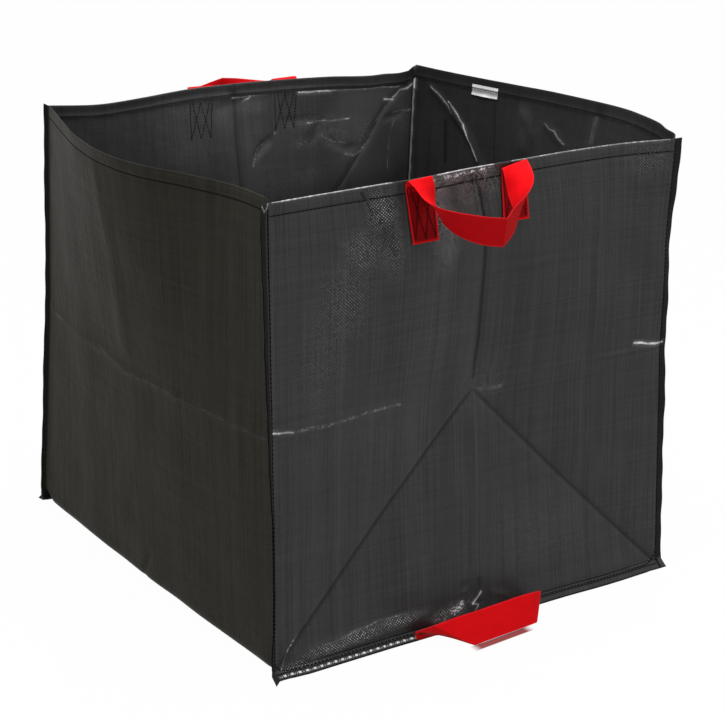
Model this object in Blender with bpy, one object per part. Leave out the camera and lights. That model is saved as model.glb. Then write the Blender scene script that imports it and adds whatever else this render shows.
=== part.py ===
"""Garden waste bag: an open square bag of woven plastic cloth with three webbing handles.

Three pieces of cloth make the body. A front panel and a back panel are each sewn all
round to one long strip, which runs down the left wall, under the base and up the right
wall. The seam allowances stick out, and the rim is hemmed to the inside.

Metres, +Z up. The origin is the middle of the base, on the ground. The tipping
handle's side faces -Y.
"""

import math

import bmesh
import bpy
import numpy as np

LEFT, RIGHT = -1, 1
FRONT, BACK = -1, 1

# The body
body_width = 0.612        # between the two side seams
body_depth = 0.640        # between the front and back panels
rim_height = 0.605
fabric = 0.0005           # one layer of cloth
seam_allowance = 0.014    # cloth outside a seam line
seam_stitch = 0.003       # from the seam line out to its stitches
seam_lift = 0.0102        # the bottom seam lines stand off the ground
floor_gap = 0.0012        # the bottom allowance's edge ends this far above the ground
base_slope = 0.020        # width over which the base climbs to a bottom seam
base_radius = 0.020       # bend from a side wall into the base
hem_depth = 0.020
hem_stitch = 0.016        # from the rim down to the hem's stitches
hem_end = 0.006           # the turned-in layer stops short of the side seams
gap = 0.0003              # between touching pieces

# The creases left by folding the bag flat, and how the cloth stands around them
crease_height = 0.325
centre_in = {FRONT: 0.040, BACK: 0.028}     # where the creases meet
centre_shift = {FRONT: (0.012, -0.0115), BACK: (0.0, 0.0)}     # that point, along x and z
crease_bulge = {LEFT: 0.026, RIGHT: 0.028}
foot_bulge = {LEFT: 0.0065, RIGHT: 0.008}
bulge_roundness = 1.7

# The rim, at nine equal steps from one side seam to the other
rim_in = {  # how far each panel's rim is drawn in, from left to right
    FRONT: (0.0, 0.004, 0.005, 0.006, 0.013, 0.017, 0.020, 0.017, 0.0),
    BACK: (0.0, 0.009, 0.005, 0.000, 0.000, 0.002, 0.008, 0.014, 0.0),
}
rim_lift = {  # how far each panel's rim stands above the rim's height
    FRONT: (0.0, 0.0005, 0.001, 0.0015, 0.002, 0.0025, 0.003, 0.0035, 0.004),
    BACK: (-0.002, -0.006, -0.004, 0.000, 0.001, 0.000, -0.002, -0.006, -0.002),
}
rim_bulge = {  # how far each side wall's rim stands out, from front to back
    LEFT: (0.0, 0.001, 0.021, 0.050, 0.063, 0.0565, 0.041, 0.0205, 0.0),
    RIGHT: (0.0, 0.041, 0.066, 0.070, 0.057, 0.0385, 0.0245, 0.012, 0.0),
}
pinch = {  # each vertical seam is drawn in where the crease meets it
    (LEFT, FRONT): 0.001,
    (RIGHT, FRONT): 0.010,
    (LEFT, BACK): 0.005,
    (RIGHT, BACK): 0.005,
}
lean = {  # each corner's distance from the true box: x, y at the ground, then at the rim
    (LEFT, FRONT): ((0.000, 0.000), (0.004, -0.002)),
    (RIGHT, FRONT): ((-0.001, 0.004), (-0.008, 0.011)),
    (LEFT, BACK): ((-0.025, 0.005), (0.002, -0.007)),
    (RIGHT, BACK): ((0.000, 0.004), (0.005, -0.005)),
}

# The webbing
webbing_width = 0.040
webbing = 0.0013
sewn_length = 0.079       # of each end that lies on a panel
hinge_rise = 0.0035       # the handles bend this far above the rim
hinge_gap = 0.0008        # from the bend line to the solids on its two sides
handle_spacing = 0.141    # between the middles of a handle's two ends
handle_middle = {FRONT: -0.029, BACK: 0.008}
sewn_lean = {FRONT: 0.0105, BACK: -0.004}   # the ends lean left by this much from bottom to rim
loop_turn = 0.0035        # radius in which a loop turns down over its bend line
loop_reach = 0.082        # the middle fold of a hanging loop: out from the rim
loop_drop = 0.062         # and down from its bend line
loop_fold_shift = {FRONT: 0.005, BACK: -0.010}
bow_side = 0.017          # where the strap turns in towards the fold
bow_reach = 0.029
bow_drop = 0.055
loop_raise = {FRONT: 0.0, BACK: math.radians(20.0)}

# The tipping handle, at the foot of the front panel
tipping_half = 0.075      # from its middle to the middle of each end
tipping_middle = -0.005
tipping_sewn = 0.0098     # of each end that lies on the seam allowance
tipping_gap = 0.0006      # from the allowance's edge to the bend line, and on to the loop
tipping_inner = (0.0225, 0.0350)   # the band's inner edge: out from the bend line, above the ground
tipping_outer = (0.0455, 0.0040)   # and its outer edge
tipping_fold = 0.0085     # the band's turned corner starts this far out
tipping_layer = 0.0040    # between the two layers at the turned corner
tipping_lip = 0.002       # the turn bulges this far past the corner
tipping_slant = {LEFT: 0.35, RIGHT: -0.2}   # how far each turned corner slants in, for each step out
tipping_rise = 0.8        # share of the band's height reached over its two ends
tipping_narrow = (0.65, 0.3)       # the outer edge's places between the corner and the middle

# The care label, inside the right wall
label_width = 0.054
label_length = 0.018
label = 0.0003
label_top = 0.0085        # below the rim
label_middle = 0.153      # its place along the wall
label_hinge = 0.0190      # below the rim: it bends just under the hem's stitches

# Thread
thread = 0.0004
thread_width = 0.0010
zigzag_legs = 6           # up and down a handle's sewn end
zigzag_half = 0.8         # share of its half width that they cover
zigzag_clear = 0.007      # above its lower edge
bar_turns = 8             # of the bar across a tipping handle's end
bar_half = 0.9            # share of its half width

# The mesh
lower_rows = 8            # panel rows under the crease, and half its columns
upper_rows = 5            # from the crease to the hem
foot_rows = 4             # strip rows from the crease to the foot
base_rows = 4             # from the foot to the middle of the base
strip_cells = 8           # across the strip
sewn_cells = 4
loop_steps = 9            # along each half of a handle's loop
loop_nearby = 0.01        # share of that half over which its direction is taken
leg_steps = 3
label_cells = 4
tiny = 1e-9

half_width = body_width / 2
margin_angle = math.acos((seam_lift - floor_gap - 2 * fabric) / seam_allowance)
stitch_height = rim_height - hem_stitch
layers = 2 * fabric + gap          # from a panel's outer face to the far face of the strip

# The strip's places round its bend into the base: its allowance's edge, and then its
# stitches, cross the line where the panel's allowance bends
bend_angles = [0.0, math.asin(base_radius / (base_radius + seam_allowance)),
               math.asin(base_radius / (base_radius + seam_stitch)), math.pi / 2]


def mix(a, b, share):
    return a + (b - a) * share


def crease_share(height):
    """1 at the crease, falling to 0 at the bottom seam and at the rim."""
    if height < crease_height:
        return (height - seam_lift) / (crease_height - seam_lift)
    return (rim_height - height) / (rim_height - crease_height)


def seam_corner(side, face, height):
    """Where a vertical seam stands at this height, on the panel's outer face."""
    low, high = np.array(lean[side, face])
    point = np.array([side * half_width, face * body_depth / 2, height])
    point[:2] += mix(low, high, height / rim_height)
    point[0] -= side * pinch[side, face] * crease_share(height)
    return point


def along_rim(steps, u):
    """A value between the nine steps of a rim, at u = -1 to 1."""
    return float(np.interp(u, np.linspace(-1, 1, len(steps)), steps))


def drawn_in(face, u, height):
    """How far the creases draw a panel in, between its two side seams at u = -1 and 1."""
    reach = max(0.0, 1 - abs(u))
    if height < crease_height:
        climb = (height - seam_lift) / (crease_height - seam_lift)
        return centre_in[face] * min(climb, reach)
    climb = (height - crease_height) / (rim_height - crease_height)
    return mix(reach * centre_in[face], along_rim(rim_in[face], u), climb)


def lifted(face, u, height):
    """How far the cloth stands above its height: at the rim, and where the creases meet."""
    climb = max(0.0, (height - crease_height) / (rim_height - crease_height))
    meeting = max(0.0, 1 - abs(u)) * crease_share(height)
    return climb * along_rim(rim_lift[face], u) + centre_shift[face][1] * meeting


def panel_point(face, u, height, depth=0.0):
    """A point of the front or back panel, depth inward from its outer face.

    Below the bottom seam line the allowance bends outward, and height goes on
    counting along the cloth.
    """
    level = max(height, seam_lift)
    point = mix(seam_corner(LEFT, face, level), seam_corner(RIGHT, face, level), (u + 1) / 2)
    point[0] += centre_shift[face][0] * max(0.0, 1 - abs(u)) * crease_share(level)
    point[1] -= face * drawn_in(face, u, level)
    point[2] += lifted(face, u, level)
    below = seam_lift - height
    sine, cosine = math.sin(margin_angle), math.cos(margin_angle)
    if below < -tiny:
        point[1] -= face * depth
    elif below < tiny:
        point += depth * np.array([0, -face, -math.tan(margin_angle / 2)])
    else:
        point += below * np.array([0, face * sine, -cosine])
        point += depth * np.array([0, -face * cosine, -sine])
    return point


def panel_columns():
    """The u of each column of a panel's mesh; the diagonal creases run through them."""
    inner = [k / lower_rows - 1 for k in range(2 * lower_rows + 1)]
    edge = 1 + seam_allowance / half_width
    hem = 1 - hem_end / half_width
    return [-edge, -1.0, -hem] + inner[1:-1] + [hem, 1.0, edge]


def hem_rows():
    return [rim_height - hem_depth - fabric, rim_height - hem_depth, stitch_height, rim_height]


def panel_rows():
    rows = [seam_lift - seam_allowance]
    rows += [mix(seam_lift, crease_height, k / lower_rows) for k in range(lower_rows)]
    top = hem_rows()
    rows += [mix(crease_height, top[0], k / upper_rows) for k in range(upper_rows)]
    return rows + top


def lining(height):
    """Thickness of the cloth at this height: the hem is double."""
    return 2 * fabric if height > rim_height - hem_depth - fabric / 2 else fabric


def bulge(side, s, height):
    """How far a side wall stands out between its front seam, s = -1, and its back seam."""
    round_share = 1 - abs(s) ** bulge_roundness
    if height < crease_height:
        climb = max(0.0, height - seam_lift) / (crease_height - seam_lift)
        return mix(foot_bulge[side], crease_bulge[side], climb) * round_share
    climb = (height - crease_height) / (rim_height - crease_height)
    return mix(crease_bulge[side] * round_share, along_rim(rim_bulge[side], s), climb)


def strip_path():
    """Each place along the strip: side, distance in from the side seam, height and angle."""
    path = []
    corner = seam_lift + base_radius
    down = hem_rows()[::-1]
    down += [mix(down[-1], crease_height, k / upper_rows) for k in range(1, upper_rows + 1)]
    down += [mix(crease_height, corner, k / foot_rows) for k in range(1, foot_rows)]
    path += [(LEFT, 0.0, height, 0.0) for height in down]
    for angle in bend_angles:
        inset = base_radius * (1 - math.cos(angle))
        path.append((LEFT, inset, corner - base_radius * math.sin(angle), angle))
    for k in range(1, base_rows):
        inset = mix(base_radius, half_width, k / base_rows)
        path.append((LEFT, inset, seam_lift, math.pi / 2))
    right = [(RIGHT,) + place[1:] for place in path[::-1]]
    return path + [(RIGHT, half_width, seam_lift, math.pi / 2)] + right


def strip_columns():
    """Each column across the strip, from its front seam to its back seam."""
    slope = 1 - 2 * base_slope / body_depth
    return [-1.0] + [mix(-slope, slope, k / strip_cells) for k in range(strip_cells + 1)] + [1.0]


def strip_point(place, s, depth):
    """A point of the strip, depth inward from its outer face."""
    side, inset, height, angle = place
    turn = np.array([math.cos(angle), math.sin(angle)])
    inset, height = np.array([inset, height]) + depth * turn
    u = side * (1 - inset / half_width)
    front = panel_point(FRONT, u, height, layers - min(depth, fabric))
    back = panel_point(BACK, u, height, layers - min(depth, fabric))
    point = mix(front, back, (s + 1) / 2)
    seam = layers * math.tan(margin_angle / 2)
    drop = (seam_lift - seam) * (rim_height - place[2]) / (rim_height - seam_lift)
    if place[2] == seam_lift and depth > 0:
        drop -= seam
        point[2] -= seam
    level = min(1.0, (1 - abs(s)) * body_depth / 2 / base_slope)
    point[2] -= drop * level
    point[0] += side * bulge(side, s, place[2]) * math.cos(angle)
    return point


def allowance_fold(place):
    """How far out the strip's allowance crosses the line where the panel's allowance bends."""
    side, inset, height, angle = place
    cross = (height - seam_lift) / max(math.sin(angle), gap)
    return min(max(cross, gap), seam_allowance - gap)


def allowance_point(place, face, out, depth):
    """A point of the strip's seam allowance, on the panel's plane behind the panel."""
    side, inset, height, angle = place
    inset -= out * math.cos(angle)
    height -= out * math.sin(angle)
    return panel_point(face, side * (1 - inset / half_width), height, depth)


def mesh_object(name, points, faces, material):
    """A closed object with its faces pointing out."""
    mesh = bpy.data.meshes.new(name)
    mesh.from_pydata([tuple(point) for point in points], [], faces)
    mesh.materials.append(material)
    work = bmesh.new()
    work.from_mesh(mesh)
    bmesh.ops.recalc_face_normals(work, faces=work.faces)
    work.to_mesh(mesh)
    work.free()
    item = bpy.data.objects.new(name, mesh)
    bpy.context.scene.collection.objects.link(item)
    return item


def sheet(name, outer, inner, material, slant=None):
    """A sheet of cloth between two grids of points, as one closed solid.

    slant(row, column) says which cells are split along their falling diagonal.
    """
    rows, columns = len(outer), len(outer[0])
    points = [point for grid in (outer, inner) for line in grid for point in line]
    half = rows * columns

    def at(row, column, layer):
        return layer * half + row * columns + column

    faces = []
    for layer in (0, 1):
        for row in range(rows - 1):
            for column in range(columns - 1):
                low_left, low_right = at(row, column, layer), at(row, column + 1, layer)
                high_left, high_right = at(row + 1, column, layer), at(row + 1, column + 1, layer)
                if slant is None or not slant(row, column):
                    faces.append((low_left, low_right, high_right))
                    faces.append((low_left, high_right, high_left))
                else:
                    faces.append((low_left, low_right, high_left))
                    faces.append((low_right, high_right, high_left))
    edge = [(0, column) for column in range(columns)]
    edge += [(row, columns - 1) for row in range(1, rows)]
    edge += [(rows - 1, column) for column in range(columns - 2, -1, -1)]
    edge += [(row, 0) for row in range(rows - 2, 0, -1)]
    for here, there in zip(edge, edge[1:] + edge[:1]):
        faces.append((at(*here, 0), at(*there, 0), at(*there, 1), at(*here, 1)))
    return mesh_object(name, points, faces, material)


def unit(vector):
    return vector / np.linalg.norm(vector)


def strap(name, stations, thickness, material):
    """A flat strap through pairs of edge points, as one closed solid."""
    first = np.array([pair[0] for pair in stations])
    second = np.array([pair[1] for pair in stations])
    outer, inner = [], []
    for k in range(len(stations)):
        before, after = max(k - 1, 0), min(k + 1, len(stations) - 1)
        width = second[k] - first[k]
        row = []
        for edge in (first, second):
            normal = unit(np.cross(width, edge[after] - edge[before]))
            row.append((edge[k], normal * thickness / 2))
        outer.append([point + away for point, away in row])
        inner.append([point - away for point, away in row])
    return sheet(name, outer, inner, material)


def thread_along(name, route, material):
    """A flat thread along a route of (point, outward normal) pairs."""
    points = [np.array(point) for point, _ in route]
    outer, inner = [], []
    for k, (_, normal) in enumerate(route):
        before, after = max(k - 1, 0), min(k + 1, len(points) - 1)
        side = unit(np.cross(normal, points[after] - points[before])) * thread_width / 2
        lift = unit(np.array(normal)) * thread / 2
        outer.append([points[k] - side + lift, points[k] + side + lift])
        inner.append([points[k] - side - lift, points[k] + side - lift])
    return sheet(name, outer, inner, material)


def make_material(name, colour, roughness):
    material = bpy.data.materials.new(name)
    material.use_nodes = True
    surface = material.node_tree.nodes["Principled BSDF"]
    surface.inputs["Base Color"].default_value = (*colour, 1)
    surface.inputs["Roughness"].default_value = roughness
    surface.inputs["Metallic"].default_value = 0
    return material


def make_panel(name, face, material):
    """The front or back panel, with its allowances and its hem."""
    rows, columns = panel_rows(), panel_columns()
    outer = [[panel_point(face, u, height) for u in columns] for height in rows]
    inner = []
    for height in rows:
        line = []
        for u in columns:
            hemmed = abs(u) < 1 - hem_end / half_width / 2
            line.append(panel_point(face, u, height, lining(height) if hemmed else fabric))
        inner.append(line)

    def slant(row, column):
        return columns[column] >= 0

    return sheet(name, outer, inner, material, slant)


def make_strip(name, material):
    """The left wall, the base and the right wall, in one piece."""
    outer, inner = [], []
    for place in strip_path():
        outs = [seam_allowance, allowance_fold(place)]
        outer_line = [allowance_point(place, FRONT, out, layers) for out in outs]
        inner_line = [allowance_point(place, FRONT, out, layers - fabric) for out in outs]
        for s in strip_columns():
            depth = lining(place[2]) if abs(s) < 1 else fabric
            outer_line.append(strip_point(place, s, 0.0))
            inner_line.append(strip_point(place, s, depth))
        outer_line += [allowance_point(place, BACK, out, layers) for out in outs[::-1]]
        inner_line += [allowance_point(place, BACK, out, layers - fabric) for out in outs[::-1]]
        outer.append(outer_line)
        inner.append(inner_line)

    def slant(row, column):
        return (row < len(outer) // 2) != (column < len(outer[0]) // 2)

    return sheet(name, outer, inner, material, slant)


def sewn_frame(face, side):
    """Middle of a handle's sewn end at the rim and at its lower edge."""
    middle = handle_middle[face] + side * handle_spacing / 2
    return middle, middle + sewn_lean[face]


def sewn_point(face, side, across, down, depth):
    """A point over a handle's sewn end: across -1 to 1, down from the rim, out by depth."""
    top, bottom = sewn_frame(face, side)
    x = mix(top, bottom, down / sewn_length) + across * webbing_width / 2
    left = seam_corner(LEFT, face, rim_height - down)[0]
    right = seam_corner(RIGHT, face, rim_height - down)[0]
    u = 2 * (x - left) / (right - left) - 1
    return panel_point(face, u, rim_height - down, -depth)


webbing_low = 3 * gap + thread     # the webbing lies over the hem's thread
webbing_mid = webbing_low + webbing / 2


def make_sewn_end(name, face, side, material):
    top = -hinge_rise + hinge_gap
    downs = [mix(top, sewn_length, k / sewn_cells) for k in range(sewn_cells + 1)]
    outer, inner = [], []
    for down in downs:
        across = (-1, 0, 1)
        outer.append([sewn_point(face, side, a, down, webbing_low + webbing) for a in across])
        inner.append([sewn_point(face, side, a, down, webbing_low) for a in across])
    return sheet(name, outer, inner, material)


def handle_roots(face):
    """The two ends of a handle's bend line, at the middles of its sewn ends."""
    return [sewn_point(face, side, 0, -hinge_rise, webbing_mid) for side in (LEFT, RIGHT)]


def curve_at(controls, t):
    a, b, c, d = controls
    return (1 - t) ** 3 * a + 3 * (1 - t) ** 2 * t * b + 3 * (1 - t) * t ** 2 * c + t ** 3 * d


def loop_stations(face):
    """Edge points of a handle's loop, from its left end over the middle fold to its right.

    Each half falls from the rim and swings in to the fold, and turns from lying flat
    over the rim to standing on edge.
    """
    left, right = handle_roots(face)
    centre = (left + right) / 2
    along = unit(right - left)
    out = np.array([0.0, face, 0.0])
    up = np.array([0.0, 0.0, 1.0])
    half = np.linalg.norm(right - left) / 2
    raised = loop_raise[face]
    fold = along * loop_fold_shift[face] + out * loop_reach - up * loop_drop
    stations = []
    for side in (LEFT, RIGHT):
        root = along * side * half
        over = root + out * loop_turn
        leave = over + out * loop_turn - up * 3 * loop_turn
        bow = root + along * side * bow_side + out * bow_reach - up * bow_drop
        controls = [over, leave, bow, fold]
        flat = -side * along * webbing_width / 2
        start = root + out * hinge_gap
        row = [(start - flat, start + flat)]
        for k in range(loop_steps):
            t = k / (loop_steps - 1)
            point = curve_at(controls, t)
            after = curve_at(controls, min(t + loop_nearby, 1))
            ahead = unit(after - curve_at(controls, max(t - loop_nearby, 0)))
            if k == 0:
                ahead = out
            width = mix(-side * along, -up, t)
            width = unit(width - np.dot(width, ahead) * ahead) * webbing_width / 2
            row.append((point - width, point + width))
        stations.append(row)
    loop = stations[0] + stations[1][-2::-1]
    turned = []
    for pair in loop:
        spun = []
        for point in pair:
            reach, rise = np.dot(point, out), np.dot(point, up)
            point = point + out * (reach * (math.cos(raised) - 1) - rise * math.sin(raised))
            point = point + up * (rise * (math.cos(raised) - 1) + reach * math.sin(raised))
            spun.append(centre + point)
        turned.append(spun)
    return turned


def zigzag(face, side, top, depth_of):
    """Points of the stitches that hold a handle's end: legs up and down its length."""
    bottom = sewn_length - zigzag_clear
    route = []
    for leg in range(zigzag_legs):
        start = mix(-zigzag_half, zigzag_half, leg / zigzag_legs)
        end = mix(-zigzag_half, zigzag_half, (leg + 1) / zigzag_legs)
        for k in range(leg_steps + (leg == zigzag_legs - 1)):
            share = k / leg_steps
            down = mix(top, bottom, share) if leg % 2 == 0 else mix(bottom, top, share)
            across = mix(start, end, share)
            route.append(sewn_point(face, side, across, down, depth_of))
    return route


def make_zigzag(name, face, side, inside, material):
    if inside:
        top = hem_depth + 2 * thread_width
        depth = -(fabric + gap + thread / 2)
    else:
        top = hem_depth / 2
        depth = webbing_low + webbing + gap + thread / 2
    normal = np.array([0.0, -face if inside else face, 0.0])
    route = [(point, normal) for point in zigzag(face, side, top, depth)]
    return thread_along(name, route, material)


def make_panel_hem_thread(name, face, inside, material):
    depth = 2 * fabric + gap + thread / 2 if inside else -(gap + thread / 2)
    normal = np.array([0.0, -face if inside else face, 0.0])
    columns = [u for u in panel_columns() if abs(u) < 1 - hem_end / half_width / 2]
    route = [(panel_point(face, u, stitch_height, depth), normal) for u in columns]
    return thread_along(name, route, material)


def wall_row(side, height, depth):
    """Points and inward normals along a side wall at one height."""
    place = (side, 0.0, height, 0.0)
    columns = [s for s in strip_columns() if abs(s) < 1]
    faces = [strip_point(place, s, lining(height)) for s in columns]
    row = []
    for k, point in enumerate(faces):
        before, after = max(k - 1, 0), min(k + 1, len(faces) - 1)
        run = faces[after] - faces[before]
        normal = unit(np.array([-side * abs(run[1]), side * run[0], 0.0]))
        if depth < 0:
            point = strip_point(place, columns[k], 0.0)
        row.append((point + normal * depth, normal))
    return row


def make_wall_hem_thread(name, side, inside, material):
    """A wall's hem thread; on the right wall it runs over the label and holds it."""
    depth = gap + thread / 2
    if inside and side == RIGHT:
        depth += label + gap
    row = wall_row(side, stitch_height, depth if inside else -depth)
    route = [(point, normal if inside else -normal) for point, normal in row]
    return thread_along(name, route, material)


def make_seam_thread(name, face, inside, material):
    """The thread that sews a panel to the strip, down one side, along and up the other."""
    depth = layers + gap + thread / 2 if inside else -(gap + thread / 2)
    route = []
    for place in strip_path():
        if place[2] > rim_height - hem_stitch / 2:
            continue
        point = allowance_point(place, face, seam_stitch, depth)
        above = place[2] - seam_stitch * math.sin(place[3]) - seam_lift
        tilt = 0.0 if above > tiny else margin_angle / 2 if above > -tiny else margin_angle
        normal = np.array([0.0, face * math.cos(tilt), math.sin(tilt)])
        route.append((point, -normal if inside else normal))
    return thread_along(name, route, material)


def tipping_point(x, out, depth):
    """A point over the front seam allowance: out from the seam line, off it by depth."""
    left = seam_corner(LEFT, FRONT, seam_lift)[0]
    right = seam_corner(RIGHT, FRONT, seam_lift)[0]
    u = 2 * (x - left) / (right - left) - 1
    return panel_point(FRONT, u, seam_lift - out, -depth)


def tipping_bend():
    """The ends of the tipping handle's bend line, along the allowance's edge."""
    ends = [tipping_middle + side * tipping_half for side in (LEFT, RIGHT)]
    return [tipping_point(x, seam_allowance + tipping_gap, gap + webbing / 2) for x in ends]


def make_tipping_end(name, side, material):
    middle = tipping_middle + side * tipping_half
    edges = [middle - webbing_width / 2, middle + webbing_width / 2]
    outs = [seam_allowance - tipping_sewn, seam_allowance]
    outer = [[tipping_point(x, out, gap + webbing) for x in edges] for out in outs]
    inner = [[tipping_point(x, out, gap) for x in edges] for out in outs]
    return sheet(name, outer, inner, material)


def make_tipping_thread(name, side, material):
    """A zigzag bar across a tipping handle's sewn end."""
    middle = tipping_middle + side * tipping_half
    near = seam_allowance - tipping_sewn + 2 * thread_width
    far = seam_allowance - 2 * thread_width
    normal = np.array([0.0, -math.cos(margin_angle), math.sin(margin_angle)])
    route = []
    for k in range(bar_turns + 1):
        x = middle + mix(-bar_half, bar_half, k / bar_turns) * webbing_width / 2
        out = near if k % 2 else far
        route.append((tipping_point(x, out, gap + webbing + gap + thread / 2), normal))
    return thread_along(name, route, material)


def tipping_stations():
    """Edge points of the tipping handle's loop: each end turns a corner into the band."""
    left, right = tipping_bend()
    bend = (left + right) / 2
    line = unit(right - left)
    forward = unit(np.cross(line, np.array([0.0, 0.0, 1.0])))
    inner_out, inner_up = tipping_inner
    outer_out, outer_up = tipping_outer
    half = webbing_width / 2

    def place(side, along, out, height):
        point = bend + line * side * along + forward * out
        return np.array([point[0], point[1], height])

    stations = []
    for side in (LEFT, RIGHT):
        wide, narrow = tipping_half + half, tipping_half - half
        turn = narrow - (outer_out - tipping_fold) * tipping_slant[side]
        low = bend[2] + webbing / 2
        high = low + tipping_layer
        row = [
            (place(side, wide, tipping_gap, bend[2]), place(side, narrow, tipping_gap, bend[2])),
            (place(side, wide, tipping_fold / 2, low), place(side, narrow, outer_out / 2, low)),
            (place(side, wide, tipping_fold, low), place(side, turn, outer_out, low)),
            (place(side, wide + tipping_lip, tipping_fold + tipping_lip / 2, (low + high) / 2),
             place(side, turn + tipping_lip / 2, outer_out + tipping_lip, (low + high) / 2)),
            (place(side, wide, tipping_fold, high), place(side, turn, outer_out, high)),
            (place(side, tipping_half, inner_out, inner_up * tipping_rise),
             place(side, turn * tipping_narrow[0], outer_out, outer_up)),
            (place(side, tipping_half / 2, inner_out, inner_up),
             place(side, turn * tipping_narrow[1], outer_out, outer_up)),
        ]
        stations.append(row)
    middle = [(place(LEFT, 0, inner_out, inner_up), place(LEFT, 0, outer_out, outer_up))]
    return stations[0] + middle + stations[1][::-1]


def label_point(along, down, depth):
    """A point over the label's place on the right wall, depth in from the hemmed face."""
    row = wall_row(RIGHT, rim_height - min(down, hem_depth), depth)
    ys = [point[1] for point, _ in row]
    y = label_middle + along
    x = np.interp(y, ys, [point[0] for point, _ in row])
    z = np.interp(y, ys, [point[2] for point, _ in row])
    return np.array([x, y, z - max(0.0, down - hem_depth)])


def make_label_part(name, top, bottom, material):
    half = label_width / 2
    places = [mix(-half, half, k / label_cells) for k in range(label_cells + 1)]
    outer = [[label_point(y, down, gap) for y in places] for down in (top, bottom)]
    inner = [[label_point(y, down, gap + label) for y in places] for down in (top, bottom)]
    return sheet(name, outer, inner, material)


def build():
    for item in list(bpy.data.objects):
        bpy.data.objects.remove(item, do_unlink=True)

    cloth = make_material("woven_cloth", (0.030, 0.030, 0.030), 0.45)
    red = make_material("red_webbing", (0.62, 0.006, 0.012), 0.60)
    black = make_material("black_thread", (0.010, 0.010, 0.010), 0.60)
    silver = make_material("label_cloth", (0.62, 0.63, 0.66), 0.40)

    make_strip("side_base_strip", cloth)
    sides = {LEFT: "left", RIGHT: "right"}
    for face, word in ((FRONT, "front"), (BACK, "back")):
        make_panel(f"{word}_panel", face, cloth)
        make_panel_hem_thread(f"{word}_hem_thread_outer", face, False, black)
        make_panel_hem_thread(f"{word}_hem_thread_inner", face, True, black)
        make_seam_thread(f"{word}_seam_thread_outer", face, False, black)
        make_seam_thread(f"{word}_seam_thread_inner", face, True, black)
        for side, hand in sides.items():
            end = f"{word}_handle_{hand}"
            make_sewn_end(f"{end}_end", face, side, red)
            make_zigzag(f"{end}_thread_outer", face, side, False, black)
            make_zigzag(f"{end}_thread_inner", face, side, True, black)
        strap(f"{word}_handle_loop", loop_stations(face), webbing, red)
    for side, hand in sides.items():
        make_wall_hem_thread(f"{hand}_hem_thread_outer", side, False, black)
        make_wall_hem_thread(f"{hand}_hem_thread_inner", side, True, black)
        make_tipping_end(f"tipping_handle_{hand}_end", side, red)
        make_tipping_thread(f"tipping_handle_{hand}_thread", side, black)
    strap("tipping_handle_loop", tipping_stations(), webbing, red)
    hinge = label_hinge
    make_label_part("care_label_edge", label_top, hinge - gap, silver)
    make_label_part("care_label_flap", hinge + gap, label_top + label_length, silver)

    for face, word in ((FRONT, "front"), (BACK, "back")):
        left, right = handle_roots(face)
        print(word, "handle bends about", (left + right) / 2, "along", unit(right - left))
    left, right = tipping_bend()
    print("tipping handle bends about", (left + right) / 2, "along", unit(right - left))
    ends = [label_point(side * label_width / 2, hinge, gap + label / 2) for side in (-1, 1)]
    print("label bends about", (ends[0] + ends[1]) / 2, "along", unit(ends[1] - ends[0]))


build()
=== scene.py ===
"""Looks of the garden waste bag: woven cloth with its folds, webbing, thread and label.

Metres, +Z up, in the frame of the solids. -Y is the panel with the tipping handle.
"""

import math

import bpy
import numpy as np
from mathutils import Matrix, Vector


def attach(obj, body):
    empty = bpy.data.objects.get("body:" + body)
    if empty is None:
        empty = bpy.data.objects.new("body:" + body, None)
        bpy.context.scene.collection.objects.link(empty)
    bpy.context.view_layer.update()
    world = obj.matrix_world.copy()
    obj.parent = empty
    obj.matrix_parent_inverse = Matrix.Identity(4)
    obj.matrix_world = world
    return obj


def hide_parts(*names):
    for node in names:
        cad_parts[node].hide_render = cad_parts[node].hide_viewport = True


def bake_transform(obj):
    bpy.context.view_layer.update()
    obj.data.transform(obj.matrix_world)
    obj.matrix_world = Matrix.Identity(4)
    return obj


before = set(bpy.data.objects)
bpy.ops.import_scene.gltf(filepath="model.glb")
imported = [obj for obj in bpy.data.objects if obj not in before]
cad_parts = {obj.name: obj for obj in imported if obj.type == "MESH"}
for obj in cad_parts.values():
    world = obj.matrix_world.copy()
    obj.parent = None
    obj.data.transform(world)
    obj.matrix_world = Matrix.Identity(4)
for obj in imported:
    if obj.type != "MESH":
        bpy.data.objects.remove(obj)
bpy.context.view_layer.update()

LEFT, RIGHT = -1, 1
FRONT, BACK = -1, 1
side_words = {LEFT: "left", RIGHT: "right"}
face_words = {FRONT: "front", BACK: "back"}


# Tables, in millimetres

def mm(*values):
    return np.array(values, float) / 1000


def lines(lengths, plain, *rows):
    """Lines on a sheet: (places, lengths, plain numbers), from rows of lengths, plain numbers and places.

    A place is across the sheet from its middle, then up.
    """
    found = []
    for row in rows:
        places = np.reshape(row[lengths + plain:], (-1, 2)) / 1000
        found.append((places.tolist(), *(v / 1000 for v in row[:lengths]), *row[lengths:lengths + plain]))
    return found


def areas(*rows):
    """Areas of a sheet: across, up, reach across, reach up and a plain number."""
    return [(*(v / 1000 for v in row[:4]), row[4]) for row in rows]


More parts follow.
